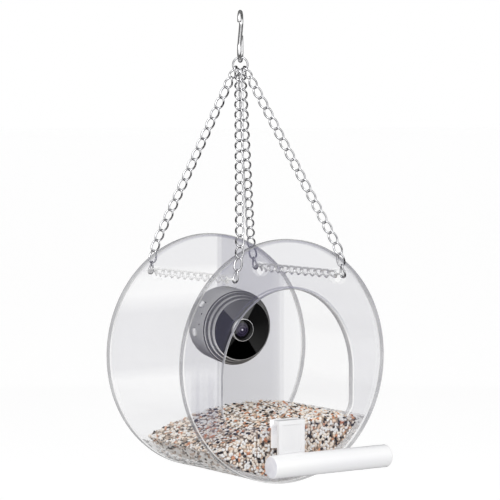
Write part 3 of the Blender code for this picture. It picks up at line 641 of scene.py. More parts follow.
def make_wall_surfaces():
    wall = Surface("clear_wall", (0.92, 0.92, 0.95), 0.06)
    wall.drift(9, [(0.35, 0.04), (0.65, 0.12)], "Alpha", 1.0, (0.2, 0.2, 4.0))
    # Painted shade on the side wall's ends: greyer towards the bottom
    end = Surface("clear_wall_end", (0.48, 0.48, 0.50), 0.1)
    end.drive("Alpha", end.across_drum(UP, [(-0.069, 0.42), (-0.058, 0.10), (-0.045, 0.03)]))
    # Painted refraction on the wall's outer face over the seeds: the seeds behind the thick wall, drawn
    # stretched along one direction
    painted_seed_view = Surface("wall_over_seeds", (0.8, 0.75, 0.7), 0.3)
    second = SEEDS_STRETCHED.cross(UP).normalized()
    third = SEEDS_STRETCHED.cross(second)
    stretched = painted_seed_view.laid_along((SEEDS_STRETCHED / SEED_STRETCH, second, third))
    cells = painted_seed_view.node("ShaderNodeTexVoronoi", scale=720.0)
    painted_seed_view.link(stretched, cells.inputs["Vector"])
    shares = painted_seed_view.node("ShaderNodeSeparateColor")
    painted_seed_view.link(cells.outputs["Color"], shares.inputs["Color"])
    painted_seed_view.colour(shares.outputs["Red"], [
        (0.0, (0.08, 0.07, 0.07)), (0.30, (0.20, 0.18, 0.17)), (0.34, (0.58, 0.40, 0.30)),
        (0.42, (0.72, 0.60, 0.52)), (0.46, (0.92, 0.87, 0.82)), (0.60, (1.0, 0.98, 0.96)), (1.0, 1.0),
    ])
    painted_seed_view.drift(300, [(0.35, 0.50), (0.65, 0.66)], "Alpha")


def make_seed_surfaces():
    """The seeds' colours, which drift from seed to seed and along each husk, and the dim bed below them,
    painted shade that shows in the gaps between the seeds.
    """
    for name, (dark, light) in SEED_COLOURS.items():
        surface = Surface(name, light, 0.5)
        surface.drift(650, [(0.34, dark), (0.62, light)])
        surface.bump(3000, 0.3, 0.0002)
    bed = Surface("seed_shade", (0.22, 0.17, 0.13), 0.9)
    bed.drift(500, [(0.35, (0.12, 0.09, 0.07)), (0.65, (0.62, 0.48, 0.38))])


def make_metal_surfaces():
    steel = Surface("chain_steel", (0.62, 0.62, 0.63), 0.14, metallic=1.0)
    steel.drift(900, [(0.3, (0.50, 0.50, 0.52)), (0.6, (0.86, 0.86, 0.88))])
    steel.bump(1500, 0.2, 0.0002)
    # The chain runs across the top get paler, less shiny copies of the steel: painted sheen, palest on the
    # left
    for side, shine in (("left", 0.12), ("right", 0.5)):
        pale = Surface(f"painted_sheen_steel_{side}", (0.92, 0.92, 0.93), 0.18, metallic=shine)
        pale.drift(900, [(0.3, 0.90), (0.6, 1.0)])
    chrome = Surface("hook_chrome", (0.94, 0.94, 0.95), 0.12, metallic=0.85)
    chrome.drift(300, [(0.3, 0.10), (0.7, 0.20)], "Roughness", stretch=(1, 1, 0.3))
    bright = Surface("bright_ring", (0.85, 0.85, 0.86), 0.14, metallic=0.4)
    bright.drift(600, [(0.3, 0.10), (0.7, 0.2)], "Roughness")
    foil = Surface("battery_foil", (0.55, 0.56, 0.58), 0.35, metallic=0.7)
    foil.drift(180, [(0.35, (0.46, 0.47, 0.50)), (0.65, (0.66, 0.67, 0.69))], detail=3.0)
    foil.bump(500, 0.3, 0.0003, 3.0)


def make_perch_surfaces():
    milky = Surface("milky_acrylic", (0.95, 0.95, 0.97), 0.18, alpha=0.97)
    milky.drift(45, [(0.35, (0.92, 0.92, 0.95)), (0.55, 1.0)], detail=3.0, stretch=(0.12, 1, 1))
    cap = Surface("perch_end", (0.80, 0.80, 0.86), 0.25)
    cap.drift(120, [(0.35, (0.76, 0.76, 0.82)), (0.65, (0.88, 0.88, 0.92))])
    clip = Surface("clip_acrylic", (0.95, 0.95, 0.96), 0.15, alpha=0.93, emission_color=WHITE)
    clip.drift(60, [(0.3, (0.90, 0.90, 0.91)), (0.7, (0.98, 0.98, 0.99))], stretch=(1, 1, 0.3))
    # Painted light: the clip's rear part glows white, so that the leg behind the plate reads pale
    depth = clip.spread(clip.along(BACK), CLIP_LOW.y, CLIP_HIGH.y)
    clip.drive("Emission Strength", clip.ramp(depth, [(0.55, 0.0), (0.60, REAR_LEG_GLOW)]))


def make_plastic_surfaces():
    # Black plastic, which also gives the painted shade inside the camera's case, its side openings and the
    # lens ring's bore
    Surface("black_plastic", (0.012, 0.012, 0.013), 0.4).drift(800, [(0.3, 0.008), (0.7, 0.018)])
    Surface("bezel_groove", (0.05, 0.05, 0.052), 0.35).drift(500, [(0.3, 0.06), (0.7, 0.11)])
    Surface("white_plastic", (0.95, 0.95, 0.95), 0.3).drift(400, [(0.3, 0.92), (0.7, 1.0)])
    board = Surface("circuit_board", (0.03, 0.18, 0.08), 0.5)
    greens = [(0.45, (0.02, 0.15, 0.06)), (0.62, (0.05, 0.26, 0.12)), (0.66, (0.70, 0.62, 0.35))]
    board.drift(900, greens, detail=3.0)
    Surface("grey_foam", (0.30, 0.30, 0.31), 0.95).bump(2500, 0.6, 0.0004, 4.0)


def make_camera_surfaces():
    """The camera's colours, with painted light and shade that change around its own axis."""
    shell = Surface("camera_shell", (0.15, 0.15, 0.16), 0.34, metallic=0.12)
    # Painted light and shade on the shell: lighter on its left and upper side, darker below and on its right
    shell.colour(shell.around(AIM), [
        (0.0, 0.52), (0.05, 0.49), (0.14, 0.28), (0.25, 0.18), (0.5, 0.15), (0.70, 0.30), (0.80, 0.48),
        (0.88, 0.46), (0.96, 0.50), (1.0, 0.52),
    ])
    shell.bump(6000, 0.05, 0.0001)
    bezel = Surface("bezel_bright", (0.5, 0.5, 0.51), 0.25)
    # Painted highlight on the rings at their lower left, and painted shade on their right
    bezel.colour(bezel.around(AIM), [
        (0.0, 0.55), (0.06, 0.80), (0.13, 1.0), (0.2, 0.75), (0.28, 0.34), (0.5, 0.22), (0.70, 0.22),
        (0.80, 0.42), (0.9, 0.34), (1.0, 0.55),
    ])
    bezel.drift(400, [(0.3, 0.2), (0.7, 0.3)], "Roughness")
    glass = Surface("face_glass", (0.004, 0.004, 0.004), 0.05, specular_ior_level=0.1)
    # Painted reflection on the glass: sharp-edged sectors round the lens, the brightest above it and black
    # below
    glass.colour(glass.around(AIM), [
        (0.0, 0.020), (0.141, 0.020), (0.143, 0.0), (0.346, 0.0), (0.349, 0.030), (0.55, 0.008),
        (0.671, 0.005), (0.673, 0.10), (0.876, 0.15), (0.878, 0.020), (1.0, 0.020),
    ])
    lens = Surface("lens_coating", (0.02, 0.012, 0.04), 0.03, coat_weight=0.3)
    # Painted highlight at the lens's centre, inside darker and lighter rings of its inner elements
    lens.colour(lens.reach(AIM, LENS_RADIUS), [
        (0.0, (0.9, 0.88, 0.95)), (0.07, (0.75, 0.72, 0.85)), (0.13, (0.05, 0.042, 0.075)),
        (0.32, (0.025, 0.02, 0.045)), (0.42, (0.07, 0.056, 0.10)), (0.52, (0.015, 0.012, 0.03)),
        (0.72, (0.045, 0.036, 0.07)), (0.80, (0.004, 0.003, 0.006)), (1.0, (0.002, 0.002, 0.003)),
    ])


make_face_surfaces()
make_edge_surfaces()
make_wall_surfaces()
make_seed_surfaces()
make_metal_surfaces()
make_perch_surfaces()
make_plastic_surfaces()
make_camera_surfaces()


# Drum

def standing(y):
    """Stands a flat sheet up at a depth of the drum."""
    return Matrix.Translation(DRUM + Vector((0, y, 0))) @ UPRIGHT


def chain_hole_places():
    return [
        (side * HOLE_PITCH_RADIUS * math.sin(HOLE_ANGLE), HOLE_PITCH_RADIUS * math.cos(HOLE_ANGLE))
        for side in (-1, 1)
    ]


def opening_outline():
    sill = -OPENING_DROP - OPENING_SIDE_HEIGHT
    inner_x, inner_z = OPENING_HALF_WIDTH - OPENING_CORNER_RADIUS, sill + OPENING_CORNER_RADIUS
    points = []
    for across, up in arc((0, 0), 1, 0, math.pi, 96):
        points.append((OPENING_OFFSET + across * OPENING_HALF_WIDTH, up * OPENING_ARCH_HEIGHT - OPENING_DROP))
    left, right = OPENING_OFFSET - inner_x, OPENING_OFFSET + inner_x
    points += arc((left, inner_z), OPENING_CORNER_RADIUS, math.pi, math.pi + QUARTER, 16)
    points += arc((right, inner_z), OPENING_CORNER_RADIUS, -QUARTER, 0, 16)
    return points


def make_plate(name, node, y, openings, face):
    loops = [circle((0, 0), PLATE_RADIUS, PLATE_POINTS)]
    loops += [circle(place, HOLE_RADIUS, 40) for place in chain_hole_places()]
    mesh = slab(loops + openings, PLATE_THICKNESS, PLATE_CHAMFER)
    holes_from = HOLE_PITCH_RADIUS - 1.1 * HOLE_RADIUS
    holes_to = HOLE_PITCH_RADIUS + 1.6 * HOLE_RADIUS
    for polygon in mesh.polygons:
        reach = polygon.center.xy.length
        if polygon.material_index == 0 or reach > holes_to:
            continue
        if reach > holes_from or polygon.center.y < SILL_EDGE_TOP:
            polygon.material_index = 4
        elif polygon.material_index == 1:
            polygon.material_index = 5 if polygon.center.x < FAR_EDGE_RIGHT else 3
        elif polygon.center.x < 0 and polygon.center.z < 0:
            polygon.material_index = 4
    edges = ("clear_rim", "clear_chamfer", "clear_cut_edge", "clear_hole_wall", "clear_far_edge")
    add(name, mesh, (face, *edges), "feeder", node, matrix=standing(y))


def make_plates():
    middle = (PLATE_INNER + PLATE_OUTER) / 2
    make_plate("clear_front_plate", "front_plate", -middle, [opening_outline()], "clear_front_face")
    make_plate("clear_back_plate", "back_plate", middle, [], "clear_back_face")


def make_wall():
    start, end = QUARTER + WALL_OPEN_ANGLE, 5 * QUARTER - WALL_OPEN_ANGLE
    outline = arc((0, 0), WALL_RADIUS, start, end, 128)
    outline += arc((0, 0), WALL_RADIUS - WALL_THICKNESS, end, start, 128)
    mesh = slab([outline], WALL_HIGH.y - WALL_LOW.y, PLATE_CHAMFER)
    for polygon in mesh.polygons:
        x, z = polygon.center.xy
        outward = Vector((x, z, 0)).normalized()
        if polygon.material_index == 1 and polygon.normal.dot(outward) > 0.5 and z < seed_top(x, 0):
            polygon.material_index = 3
    surfaces = ("clear_wall_end", "clear_wall", "clear_wall", "wall_over_seeds")
    add("clear_side_wall", mesh, surfaces, "feeder", "side_wall", matrix=standing(0))


# Seeds

def seed_top(x, y):
    """Height of the lumpy heap above the drum's centre."""
    aside = x - SEED_CROWN_OFFSET
    crown = math.sqrt(SEED_CROWN_RADIUS ** 2 - aside ** 2) - SEED_CROWN_RADIUS - SEED_CROWN_DEPTH
    across = 2 * math.pi * x / SEED_LUMP_SPACING
    lengthwise = 2 * math.pi * y / SEED_LUMP_SPACING
    drift_across, drift_lengthwise = SEED_LUMP_DRIFT_SHARES
    wave = math.sin(across + math.sin(drift_across * lengthwise))
    wave *= math.sin(lengthwise + math.sin(drift_lengthwise * across))
    return crown + math.tan(SEED_SLOPE) * y + SEED_LUMP_HEIGHT * (wave - 1) / 2


SEED_LOW, SEED_HIGH = corners("seed_fill")
SEED_FLOOR_RADIUS = DRUM.z - SEED_LOW.z
SEED_FRONT, SEED_BACK = SEED_LOW.y - DRUM.y, SEED_HIGH.y - DRUM.y


def seed_edge(side):
    """How far to one side the heap meets the wall."""
    low, high = 0.0, SEED_FLOOR_RADIUS
    for _ in range(40):
        x = (low + high) / 2
        if seed_top(side * x, 0) > -math.sqrt(SEED_FLOOR_RADIUS ** 2 - x ** 2):
            low = x
        else:
            high = x
    return side * low


SEED_LEFT, SEED_RIGHT = seed_edge(-1), seed_edge(1)
HEAP_LEFT, HEAP_RIGHT = SEED_LEFT + SEED_SIZE[0], SEED_RIGHT - SEED_SIZE[0]
HEAP_FRONT, HEAP_BACK = SEED_FRONT + SEED_SIZE[0], SEED_BACK - SEED_SIZE[0]


# The bed is a dim sheet under the seeds: painted shade that shows in the gaps between them
def make_seed_bed():
    left, right = SEED_LEFT + SEED_INSET, SEED_RIGHT - SEED_INSET
    xs = [right + (left - right) * i / 60 for i in range(61)]
    floor_radius = SEED_FLOOR_RADIUS - SEED_INSET
    points, faces = [], []
    for y in (SEED_FRONT + SEED_INSET, SEED_BACK - SEED_INSET):
        for x in xs:
            points.append((x, y, seed_top(x, y) - SEED_INSET))
        for x in reversed(xs):
            floor = -math.sqrt(floor_radius ** 2 - x ** 2)
            points.append((x, y, min(floor, seed_top(x, y) - SEED_LAYER)))
    count = len(xs) * 2
    faces.append(list(range(count - 1, -1, -1)))
    faces.append(list(range(count, 2 * count)))
    for i in range(count):
        j = (i + 1) % count
        faces.append([i, j, count + j, count + i])
    mesh = mesh_of(points, faces)
    shape = bmesh.new()
    shape.from_mesh(mesh)
    bmesh.ops.triangulate(shape, faces=[face for face in shape.faces if len(face.verts) > 4])
    bmesh.ops.recalc_face_normals(shape, faces=shape.faces)
    shape.to_mesh(mesh)
    shape.free()
    add("seed_bed", mesh, ("seed_shade",), "feeder", "seed_fill", matrix=Matrix.Translation(DRUM))


def seed_shape(sides=6, rings=4):
    """Points and faces of a pointed oval seed of unit half-sizes, its length along X."""
    profile = []
    for ring in range(rings + 1):
        lengthwise = math.cos(math.pi * ring / rings)
        girth = math.sin(math.pi * ring / rings) * (1 - SEED_TAPER * lengthwise)
        profile.append((girth, lengthwise))
    mesh = turned(profile, sides)
    points = [(point.co.z, point.co.x, point.co.y) for point in mesh.vertices]
    return np.array(points), [list(face.vertices) for face in mesh.polygons]


def near_clip(place):
    """Whether a seed would stand in the clip's rear leg."""
    middle = (CLIP_LOW.x + CLIP_HIGH.x) / 2 - DRUM.x
    return (
        abs(place[0] - middle) < (CLIP_HIGH.x - CLIP_LOW.x) / 2 + SEED_SIZE[0]
        and place[1] < CLIP_HIGH.y - DRUM.y + SEED_SIZE[0]
        and place[2] > CLIP_HIGH.z - DRUM.z - CLIP_LEG - SEED_SIZE[0]
    )


def make_seeds(name, places, generator):
    """Seeds lying at places with their outward directions, in their mixed colours."""
    shape, shape_faces = seed_shape()
    points, faces, slots = [], [], []
    for place, outward in places:
        if near_clip(place):
            continue
        normal = Vector(outward).normalized()
        side = normal.orthogonal().normalized()
        side = Matrix.Rotation(generator.uniform(0, 2 * math.pi), 3, normal) @ side
        lean = Matrix.Rotation(generator.uniform(-SEED_LEAN, SEED_LEAN), 3, normal.cross(side))
        side, normal = lean @ side, lean @ normal
        frame_of_seed = np.array([side, normal.cross(side), normal])
        kind = int(generator.choice(len(SEED_SHARES), p=SEED_SHARES))
        size = np.array(SEED_SIZE) * generator.uniform(*SEED_SIZE_SHARES)
        if kind == len(SEED_SHARES) - 1:
            size = size * np.array(BLACK_SEED_SHARES)
        offset = len(points)
        points.extend((shape * size) @ frame_of_seed + np.array(place))
        faces.extend([[offset + i for i in face] for face in shape_faces])
        slots.extend([kind] * len(shape_faces))
    mesh = mesh_of(points, faces)
    mesh.polygons.foreach_set("material_index", slots)
    add(name, mesh, SEED_COLOURS, "feeder", "seed_fill", 60, Matrix.Translation(DRUM))


def spaced(length):
    """Distances for a row of seeds along a length."""
    return [SEED_SPACING * i for i in range(int(length / SEED_SPACING) + 1)]


def strayed(distance, generator):
    """A distance with a random share of the seeds' spacing added or taken off."""
    return distance + generator.uniform(-SEED_STRAY, SEED_STRAY) * SEED_SPACING


def places_on_top(generator):
    places = []
    for across in spaced(HEAP_RIGHT - HEAP_LEFT):
        for back in spaced(HEAP_BACK - HEAP_FRONT):
            x = strayed(HEAP_LEFT + across, generator)
            y = strayed(HEAP_FRONT + back, generator)
            x, y = max(HEAP_LEFT, min(HEAP_RIGHT, x)), max(HEAP_FRONT, min(HEAP_BACK, y))
            height = seed_top(x, y) - SEED_INSET + generator.uniform(*SEED_SINK_SHARES) * SEED_INSET
            places.append(((x, y, height), ((x - SEED_CROWN_OFFSET) / SEED_CROWN_RADIUS, 0, 1)))
    return places


def places_at_wall(generator):
    radius = SEED_FLOOR_RADIUS - SEED_INSET
    lowest = math.asin(SEED_LEFT / SEED_FLOOR_RADIUS) + 0.5 * SEED_SIZE[0] / SEED_FLOOR_RADIUS
    highest = math.asin(SEED_RIGHT / SEED_FLOOR_RADIUS) - 0.5 * SEED_SIZE[0] / SEED_FLOOR_RADIUS
    places = []
    for across in spaced((highest - lowest) * radius):
        for back in spaced(HEAP_BACK - HEAP_FRONT):
            angle = lowest + strayed(across, generator) / radius
            y = strayed(HEAP_FRONT + back, generator)
            x, z = radius * math.sin(angle), -radius * math.cos(angle)
            if z < seed_top(x, y) - SEED_LAYER:
                places.append(((x, max(HEAP_FRONT, min(HEAP_BACK, y)), z), (x, 0, z)))
    return places


def places_at_plates(generator):
    """Places at the front plate and at the back plate."""
    front, back = [], []
    for across in spaced(HEAP_RIGHT - HEAP_LEFT):
        for down in spaced(SEED_FLOOR_RADIUS)[:-1]:
            for places, y, outward in ((front, SEED_FRONT, -1), (back, SEED_BACK, 1)):
                x = strayed(HEAP_LEFT + across, generator)
                z = strayed(-down, generator)
                inside = math.hypot(x, z) < SEED_FLOOR_RADIUS - SEED_SIZE[0]
                if inside and z < seed_top(x, y) - SEED_INSET:
                    places.append(((x, y - outward * SEED_INSET, z), (0, outward, 0)))
    return front, back


def make_seed_heap():
    make_seed_bed()
    generator = np.random.default_rng(7)
    top, under = places_on_top(generator), places_at_wall(generator)
    front, back = places_at_plates(generator)
    make_seeds("seeds_on_top", top, generator)
    make_seeds("seeds_at_wall", under, generator)
    make_seeds("seeds_at_front", front, generator)
    make_seeds("seeds_at_back", back, generator)


# Hook, ring and chains

HOOK_TURN = math.radians(40)
HOOK_ACROSS = Vector((math.sin(HOOK_TURN), math.cos(HOOK_TURN), 0))
RING_ACROSS = Vector((math.cos(HOOK_TURN), -math.sin(HOOK_TURN), 0))
HOOK_TOP = HOOK_WIRE / 2
HOOK_BOTTOM = JOINTS["swing_on_hook"]["pos_m"][2]
RING_LOW, RING_HIGH = corners("gathering_ring")
RING_MIDDLE = (RING_LOW + RING_HIGH) / 2
RING_BEND_RADIUS = (RING_HIGH.z - RING_LOW.z - RING_WIRE) / 2


def make_hook():
    top = (0, HOOK_TOP - HOOK_TOP_BEND_RADIUS)
    low = (0, HOOK_BOTTOM + HOOK_LOW_BEND_RADIUS)
    slant = math.asin((HOOK_TOP_BEND_RADIUS + HOOK_LOW_BEND_RADIUS) / (top[1] - low[1]))
    outline = [(-HOOK_TOP_BEND_RADIUS, top[1] - HOOK_TIP_DROP)]
    outline += arc(top, HOOK_TOP_BEND_RADIUS, math.pi, -slant, 40)
    outline += arc(low, HOOK_LOW_BEND_RADIUS, -math.pi - slant, 0, 40)
    outline.append((HOOK_LOW_BEND_RADIUS - HOOK_RETURN_INSET, low[1] + HOOK_RETURN_RISE))
    points = [HOOK_ACROSS * across + UP * height for across, height in outline]
    add("wire_hook", tube(points, HOOK_WIRE / 2, 20), ("hook_chrome",), "hook", "hanger_hook", 60)


def make_ring():
    points = []
    for across, height in circle((0, 0), RING_BEND_RADIUS, 64):
        points.append(RING_MIDDLE + RING_ACROSS * across + UP * height)
    mesh = tube(points, RING_WIRE / 2, 14, closed=True)
    add("wire_ring", mesh, ("chain_steel",), "ring", "gathering_ring", 60)


def point_along(points, distance):
    """The point that lies a distance along a line of points."""
    for start, end in zip(points, points[1:]):
        length = (end - start).length
        if distance <= length or end is points[-1]:
            return start.lerp(end, distance / length)
        distance -= length


def sides_of_heading(heading):
    """Two directions square to a heading and to each other."""
    first = (RIGHT - heading * heading.x).normalized()
    return first, heading.cross(first)


def wire_angle(direction, heading):
    """The angle about a heading at which a direction lies."""
    first, second = sides_of_heading(heading)
    return math.atan2(direction.dot(second), direction.dot(first))


def link_mesh(start, end, start_angle, turn, steps=30):
    """A smooth oval link between two points, twisted along its length."""
    heading = (end - start).normalized()
    first, second = sides_of_heading(heading)
    roundness_long, roundness_wide = LINK_ROUNDNESS
    half_length = (end - start).length / 2
    half_width = (LINK_WIDTH - LINK_WIRE) / 2
    points = []
    for i in range(steps):
        around = 2 * math.pi * i / steps
        swell_long = math.copysign(abs(math.cos(around)) ** roundness_long, math.cos(around))
        swell_wide = math.copysign(abs(math.sin(around)) ** roundness_wide, math.sin(around))
        angle = start_angle + turn * (1 + swell_long) / 2
        side = first * math.cos(angle) + second * math.sin(angle)
        middle = (start + end) / 2 + heading * half_length * swell_long
        points.append(middle + side * half_width * swell_wide)
    return tube(points, LINK_WIRE / 2, 9, closed=True)


def make_chain(name, node, path, wires_held, reaches, surface="chain_steel"):
    """A stretch of twisted links between two held ends."""
    length = sum((end - start).length for start, end in zip(path, path[1:]))
    hold = LINK_WIRE / 4
    count = round((length - 2 * hold) / LINK_PITCH)
    spacing = (length - 2 * hold) / count
    joints = [point_along(path, hold + spacing * i) for i in range(count + 1)]
    first_heading = (joints[1] - joints[0]).normalized()
    last_heading = (joints[-1] - joints[-2]).normalized()
    angle = wire_angle(wires_held[0], first_heading) + QUARTER * reaches[0] / spacing
    last_angle = wire_angle(wires_held[1], last_heading) - QUARTER * reaches[1] / spacing
    left_over = (last_angle - angle + 2 * QUARTER) % math.pi - QUARTER
    turn = left_over / count - QUARTER
    middle = count // 2
    open_side = (joints[middle + 1] - joints[middle]).cross(OPEN_TOWARDS)
    lay = wire_angle(open_side, (joints[middle + 1] - joints[middle]).normalized())
    twist = lay - (angle + (turn + QUARTER) * middle + turn / 2)
    twist = (twist + QUARTER) % math.pi - QUARTER
    links = []
    for i, (start, end) in enumerate(zip(joints, joints[1:])):
        heading = (end - start).normalized() * hold
        before, after = [twist * min(1, min(k, count - k) / TWIST_LINKS) for k in (i, i + 1)]
        links.append(link_mesh(start - heading, end + heading, angle + before, turn + after - before))
        angle += turn + QUARTER
    add(name, joined(links), (surface,), "feeder", node, 60)


def make_chains():
    standoff = LINK_WIDTH / 2 + TOUCH_GAP
    outside = PLATE_OUTER + standoff
    hole_x = HOLE_PITCH_RADIUS * math.sin(HOLE_ANGLE)
    run_z = HOLE_PITCH_RADIUS * math.cos(HOLE_ANGLE) + HOLE_RADIUS - standoff
    rim_radius = PLATE_RADIUS + RIM_RISE
    hooked_below = LINK_WIRE + TOUCH_GAP
    overhang = (RING_WIRE + LINK_WIRE) / 2 + LINK_PLAY
    reach = (LINK_WIDTH - LINK_WIRE) / 2
    for side, side_sign in (("left", -1), ("right", 1)):
        for face, face_sign in (("front", -1), ("back", 1)):
            seat_angle = math.radians(STRAND_ANGLES[f"{face}_{side}"])
            outward = RING_ACROSS * math.sin(seat_angle) - UP * math.cos(seat_angle)
            wire = RING_MIDDLE + outward * RING_BEND_RADIUS
            rim = DRUM + Vector((
                side_sign * rim_radius * math.sin(RIM_ANGLE),
                face_sign * (outside + RIM_STANDOFF),
                rim_radius * math.cos(RIM_ANGLE),
            ))
            seat = wire + (wire - rim).normalized() * overhang
            hole = DRUM + Vector((side_sign * hole_x, face_sign * outside, run_z - hooked_below))
            make_chain(
                f"links_{face}_{side}", f"chain_{face}_{side}", [seat, rim, hole],
                (HOOK_ACROSS, BACK), (overhang, hooked_below),
            )
        ends = [DRUM + Vector((side_sign * hole_x, sign * outside, run_z)) for sign in (-1, 1)]
        make_chain(
            f"links_run_{side}", f"chain_run_{side}", ends, (RIGHT, RIGHT), (reach, reach),
            f"painted_sheen_steel_{side}",
        )


# Camera

CAMERA_REAR = CAMERA_FRONT - CAMERA_LENGTH


def on_side(angle, depth, radius):
    """Stands a shape on the camera's round side, its Z pointing out and its Y forward."""
    place = Vector((radius * math.cos(angle), radius * math.sin(angle), CAMERA_FRONT - depth))
    return Matrix.Translation(place) @ Matrix.Rotation(angle + QUARTER, 4, "Z") @ UPRIGHT


def side_cutter(outline, angle, depth):
    mesh = slab([outline], 4 * CAMERA_WALL, 0.00001, 0)
    mesh.transform(on_side(angle, depth, CAMERA_RADIUS))
    return mesh


def side_cutters():
    """Cutters for the switch's slot, the button's hole and the pinholes."""
    width, length = (size + 2 * TOUCH_GAP for size in SWITCH_SIZE)
    slot = rounded_rectangle(width, length + SWITCH_TRAVEL, SLOT_CORNER_RADIUS)
    width, length = (size + 2 * TOUCH_GAP for size in BUTTON_SIZE)
    hole = rounded_rectangle(width, length, BUTTON_HOLE_CORNER_RADIUS)
    cutters = [side_cutter(slot, SWITCH_ANGLE, SWITCH_DEPTH), side_cutter(hole, BUTTON_ANGLE, BUTTON_DEPTH)]
    for angle in PINHOLE_ANGLES:
        cutters.append(side_cutter(circle((0, 0), PINHOLE_RADIUS, 24), angle, PINHOLE_DEPTH))
    return cutters


def make_housing():
    front = CAMERA_FRONT - BEZEL_DEPTH - TOUCH_GAP
    inner = CAMERA_REAR_RADIUS - CAMERA_WALL
    floor = CAMERA_REAR + CAMERA_WALL
    bulge = SOCKET_RADIUS + CAMERA_WALL
    profile = arc((0, 0), bulge, QUARTER, math.asin(floor / bulge), 12)
    profile[0] = (0, bulge)
    profile += [(inner, floor), (inner, front), (CAMERA_RADIUS - CASE_ROUND, front)]
    profile += [(CAMERA_RADIUS - CASE_ROUND / 3, front - CASE_ROUND / 3), (CAMERA_RADIUS, front - CASE_ROUND)]
    profile += [(CAMERA_RADIUS, CAMERA_FRONT - CAMERA_LENGTH / 2)]
    centre = (CAMERA_REAR_RADIUS - CAMERA_REAR_ROUND, CAMERA_REAR + CAMERA_REAR_ROUND)
    profile += arc(centre, CAMERA_REAR_ROUND, 0, -QUARTER, 10)
    profile += arc((0, 0), SOCKET_RADIUS, math.asin(CAMERA_REAR / SOCKET_RADIUS), QUARTER, 12)
    profile[-1] = (0, SOCKET_RADIUS)
    mesh = cut(turned(profile, 128), side_cutters())
    mesh.materials.clear()

    def is_inside(face):
        """Whether a face lines the case or one of the openings cut through its side."""
        outward = face.normal.xy.dot(face.center.xy.normalized())
        across = abs(outward) < 0.6 and inner - 0.0001 < face.center.xy.length < CAMERA_RADIUS - 0.0004
        return outward < -0.6 or across and face.center.z > floor

    # The case's inside and the walls of the openings cut through its side are black: painted shade
    sort_faces(mesh, is_inside)
    add("camera_case", mesh, ("camera_shell", "black_plastic"), "camera", "camera_housing", 30, AIM)


def make_control(name, node, body, size, corner, angle, depth, proud):
    """A switch or button that stands proud of the camera's side."""
    inner = CAMERA_REAR_RADIUS - CAMERA_WALL - CONTROL_OVERLAP
    outer = CAMERA_RADIUS + proud
    mesh = slab([rounded_rectangle(*size, corner, 8)], outer - inner, CONTROL_CHAMFER, 3)
    mesh.transform(on_side(angle, depth, (inner + outer) / 2))
    mesh.polygons.foreach_set("material_index", [0] * len(mesh.polygons))
    add(name, mesh, ("white_plastic",), body, node, 40, AIM)


def make_bezel():
    bore, ledge_bore = GLASS_RADIUS + TOUCH_GAP, GLASS_RADIUS - LEDGE_WIDTH
    ledge, rear = CAMERA_FRONT - LEDGE_DEPTH, CAMERA_FRONT - BEZEL_DEPTH
    profile = [(bore, CAMERA_FRONT - 0.0001), (LIP_RADIUS - LIP_ROUND, CAMERA_FRONT)]
    profile += [(LIP_RADIUS, CAMERA_FRONT - LIP_ROUND), (LIP_RADIUS, CAMERA_FRONT - LIP_HEIGHT)]
    for radius, top, foot in BEZEL_STEPS:
        centre = (radius - BEZEL_ROUND, CAMERA_FRONT - top - BEZEL_ROUND)
        profile += arc(centre, BEZEL_ROUND, QUARTER, 0, 5)
        profile.append((radius, CAMERA_FRONT - foot))
    profile += [(ledge_bore, rear), (ledge_bore, ledge), (bore, ledge)]
    mesh = turned(profile, 144, closed=True)
    sort_faces(mesh, lambda face: abs(face.normal.z) > 0.8)
    add("camera_front_rings", mesh, ("bezel_bright", "bezel_groove"), "camera", "camera_bezel", 30, AIM)


def make_glass():
    hole = LENS_RING_RADIUS + TOUCH_GAP
    rear = CAMERA_FRONT - GLASS_THICKNESS
    profile = [(hole, CAMERA_FRONT), (GLASS_RADIUS - GLASS_ROUND, CAMERA_FRONT)]
    profile += [(GLASS_RADIUS, CAMERA_FRONT - GLASS_ROUND), (GLASS_RADIUS, rear), (hole, rear)]
    mesh = turned(profile, 144, closed=True)
    add("camera_front_glass", mesh, ("face_glass",), "camera", "camera_face_glass", 30, AIM)


def make_lens_ring():
    top = CAMERA_FRONT + LENS_RING_PROUD
    bore = LENS_RING_RADIUS - LENS_RING_WALL
    centre = (LENS_RING_RADIUS - LENS_RING_ROUND, top - LENS_RING_ROUND)
    profile = arc(centre, LENS_RING_ROUND, QUARTER, 0, 4)
    profile += [(LENS_RING_RADIUS, top - LENS_RING_HEIGHT), (bore, top - LENS_RING_HEIGHT)]
    profile += [(bore, top - LENS_RING_FUNNEL)]
    mesh = turned(profile, 96, closed=True)
    # The ring's inner wall is black: painted shade in its bore
    sort_faces(mesh, lambda face: face.normal.xy.dot(face.center.xy) < 0)
    add("camera_lens_rim", mesh, ("bright_ring", "black_plastic"), "camera", "camera_lens_ring", 30, AIM)


def make_lens():
    seat = CAMERA_FRONT - LENS_SEAT_DEPTH
    crown, rear = seat + LENS_RISE, seat - LENS_THICKNESS
    centre = (0, crown - LENS_DOME_RADIUS)
    profile = arc(centre, LENS_DOME_RADIUS, QUARTER, QUARTER - LENS_DOME_ANGLE, 12)
    profile[0] = (0, crown)
    profile += [(LENS_RADIUS, rear), (0, rear)]
    add("camera_lens_dome", turned(profile, 96), ("lens_coating",), "camera", "camera_lens", 30, AIM)


def make_camera():
    make_housing()
    make_bezel()
    make_glass()
    make_lens_ring()
    make_lens()
    make_control(
        "camera_slide_switch", "camera_power_switch", "power_switch", SWITCH_SIZE, SWITCH_CORNER_RADIUS,
        SWITCH_ANGLE, SWITCH_DEPTH + SWITCH_TRAVEL / 2, SWITCH_PROUD,
    )
    make_control(
        "camera_push_button", "camera_mode_button", "mode_button", BUTTON_SIZE, BUTTON_CORNER_RADIUS,
        BUTTON_ANGLE, BUTTON_DEPTH, BUTTON_PROUD,
    )


# Perch

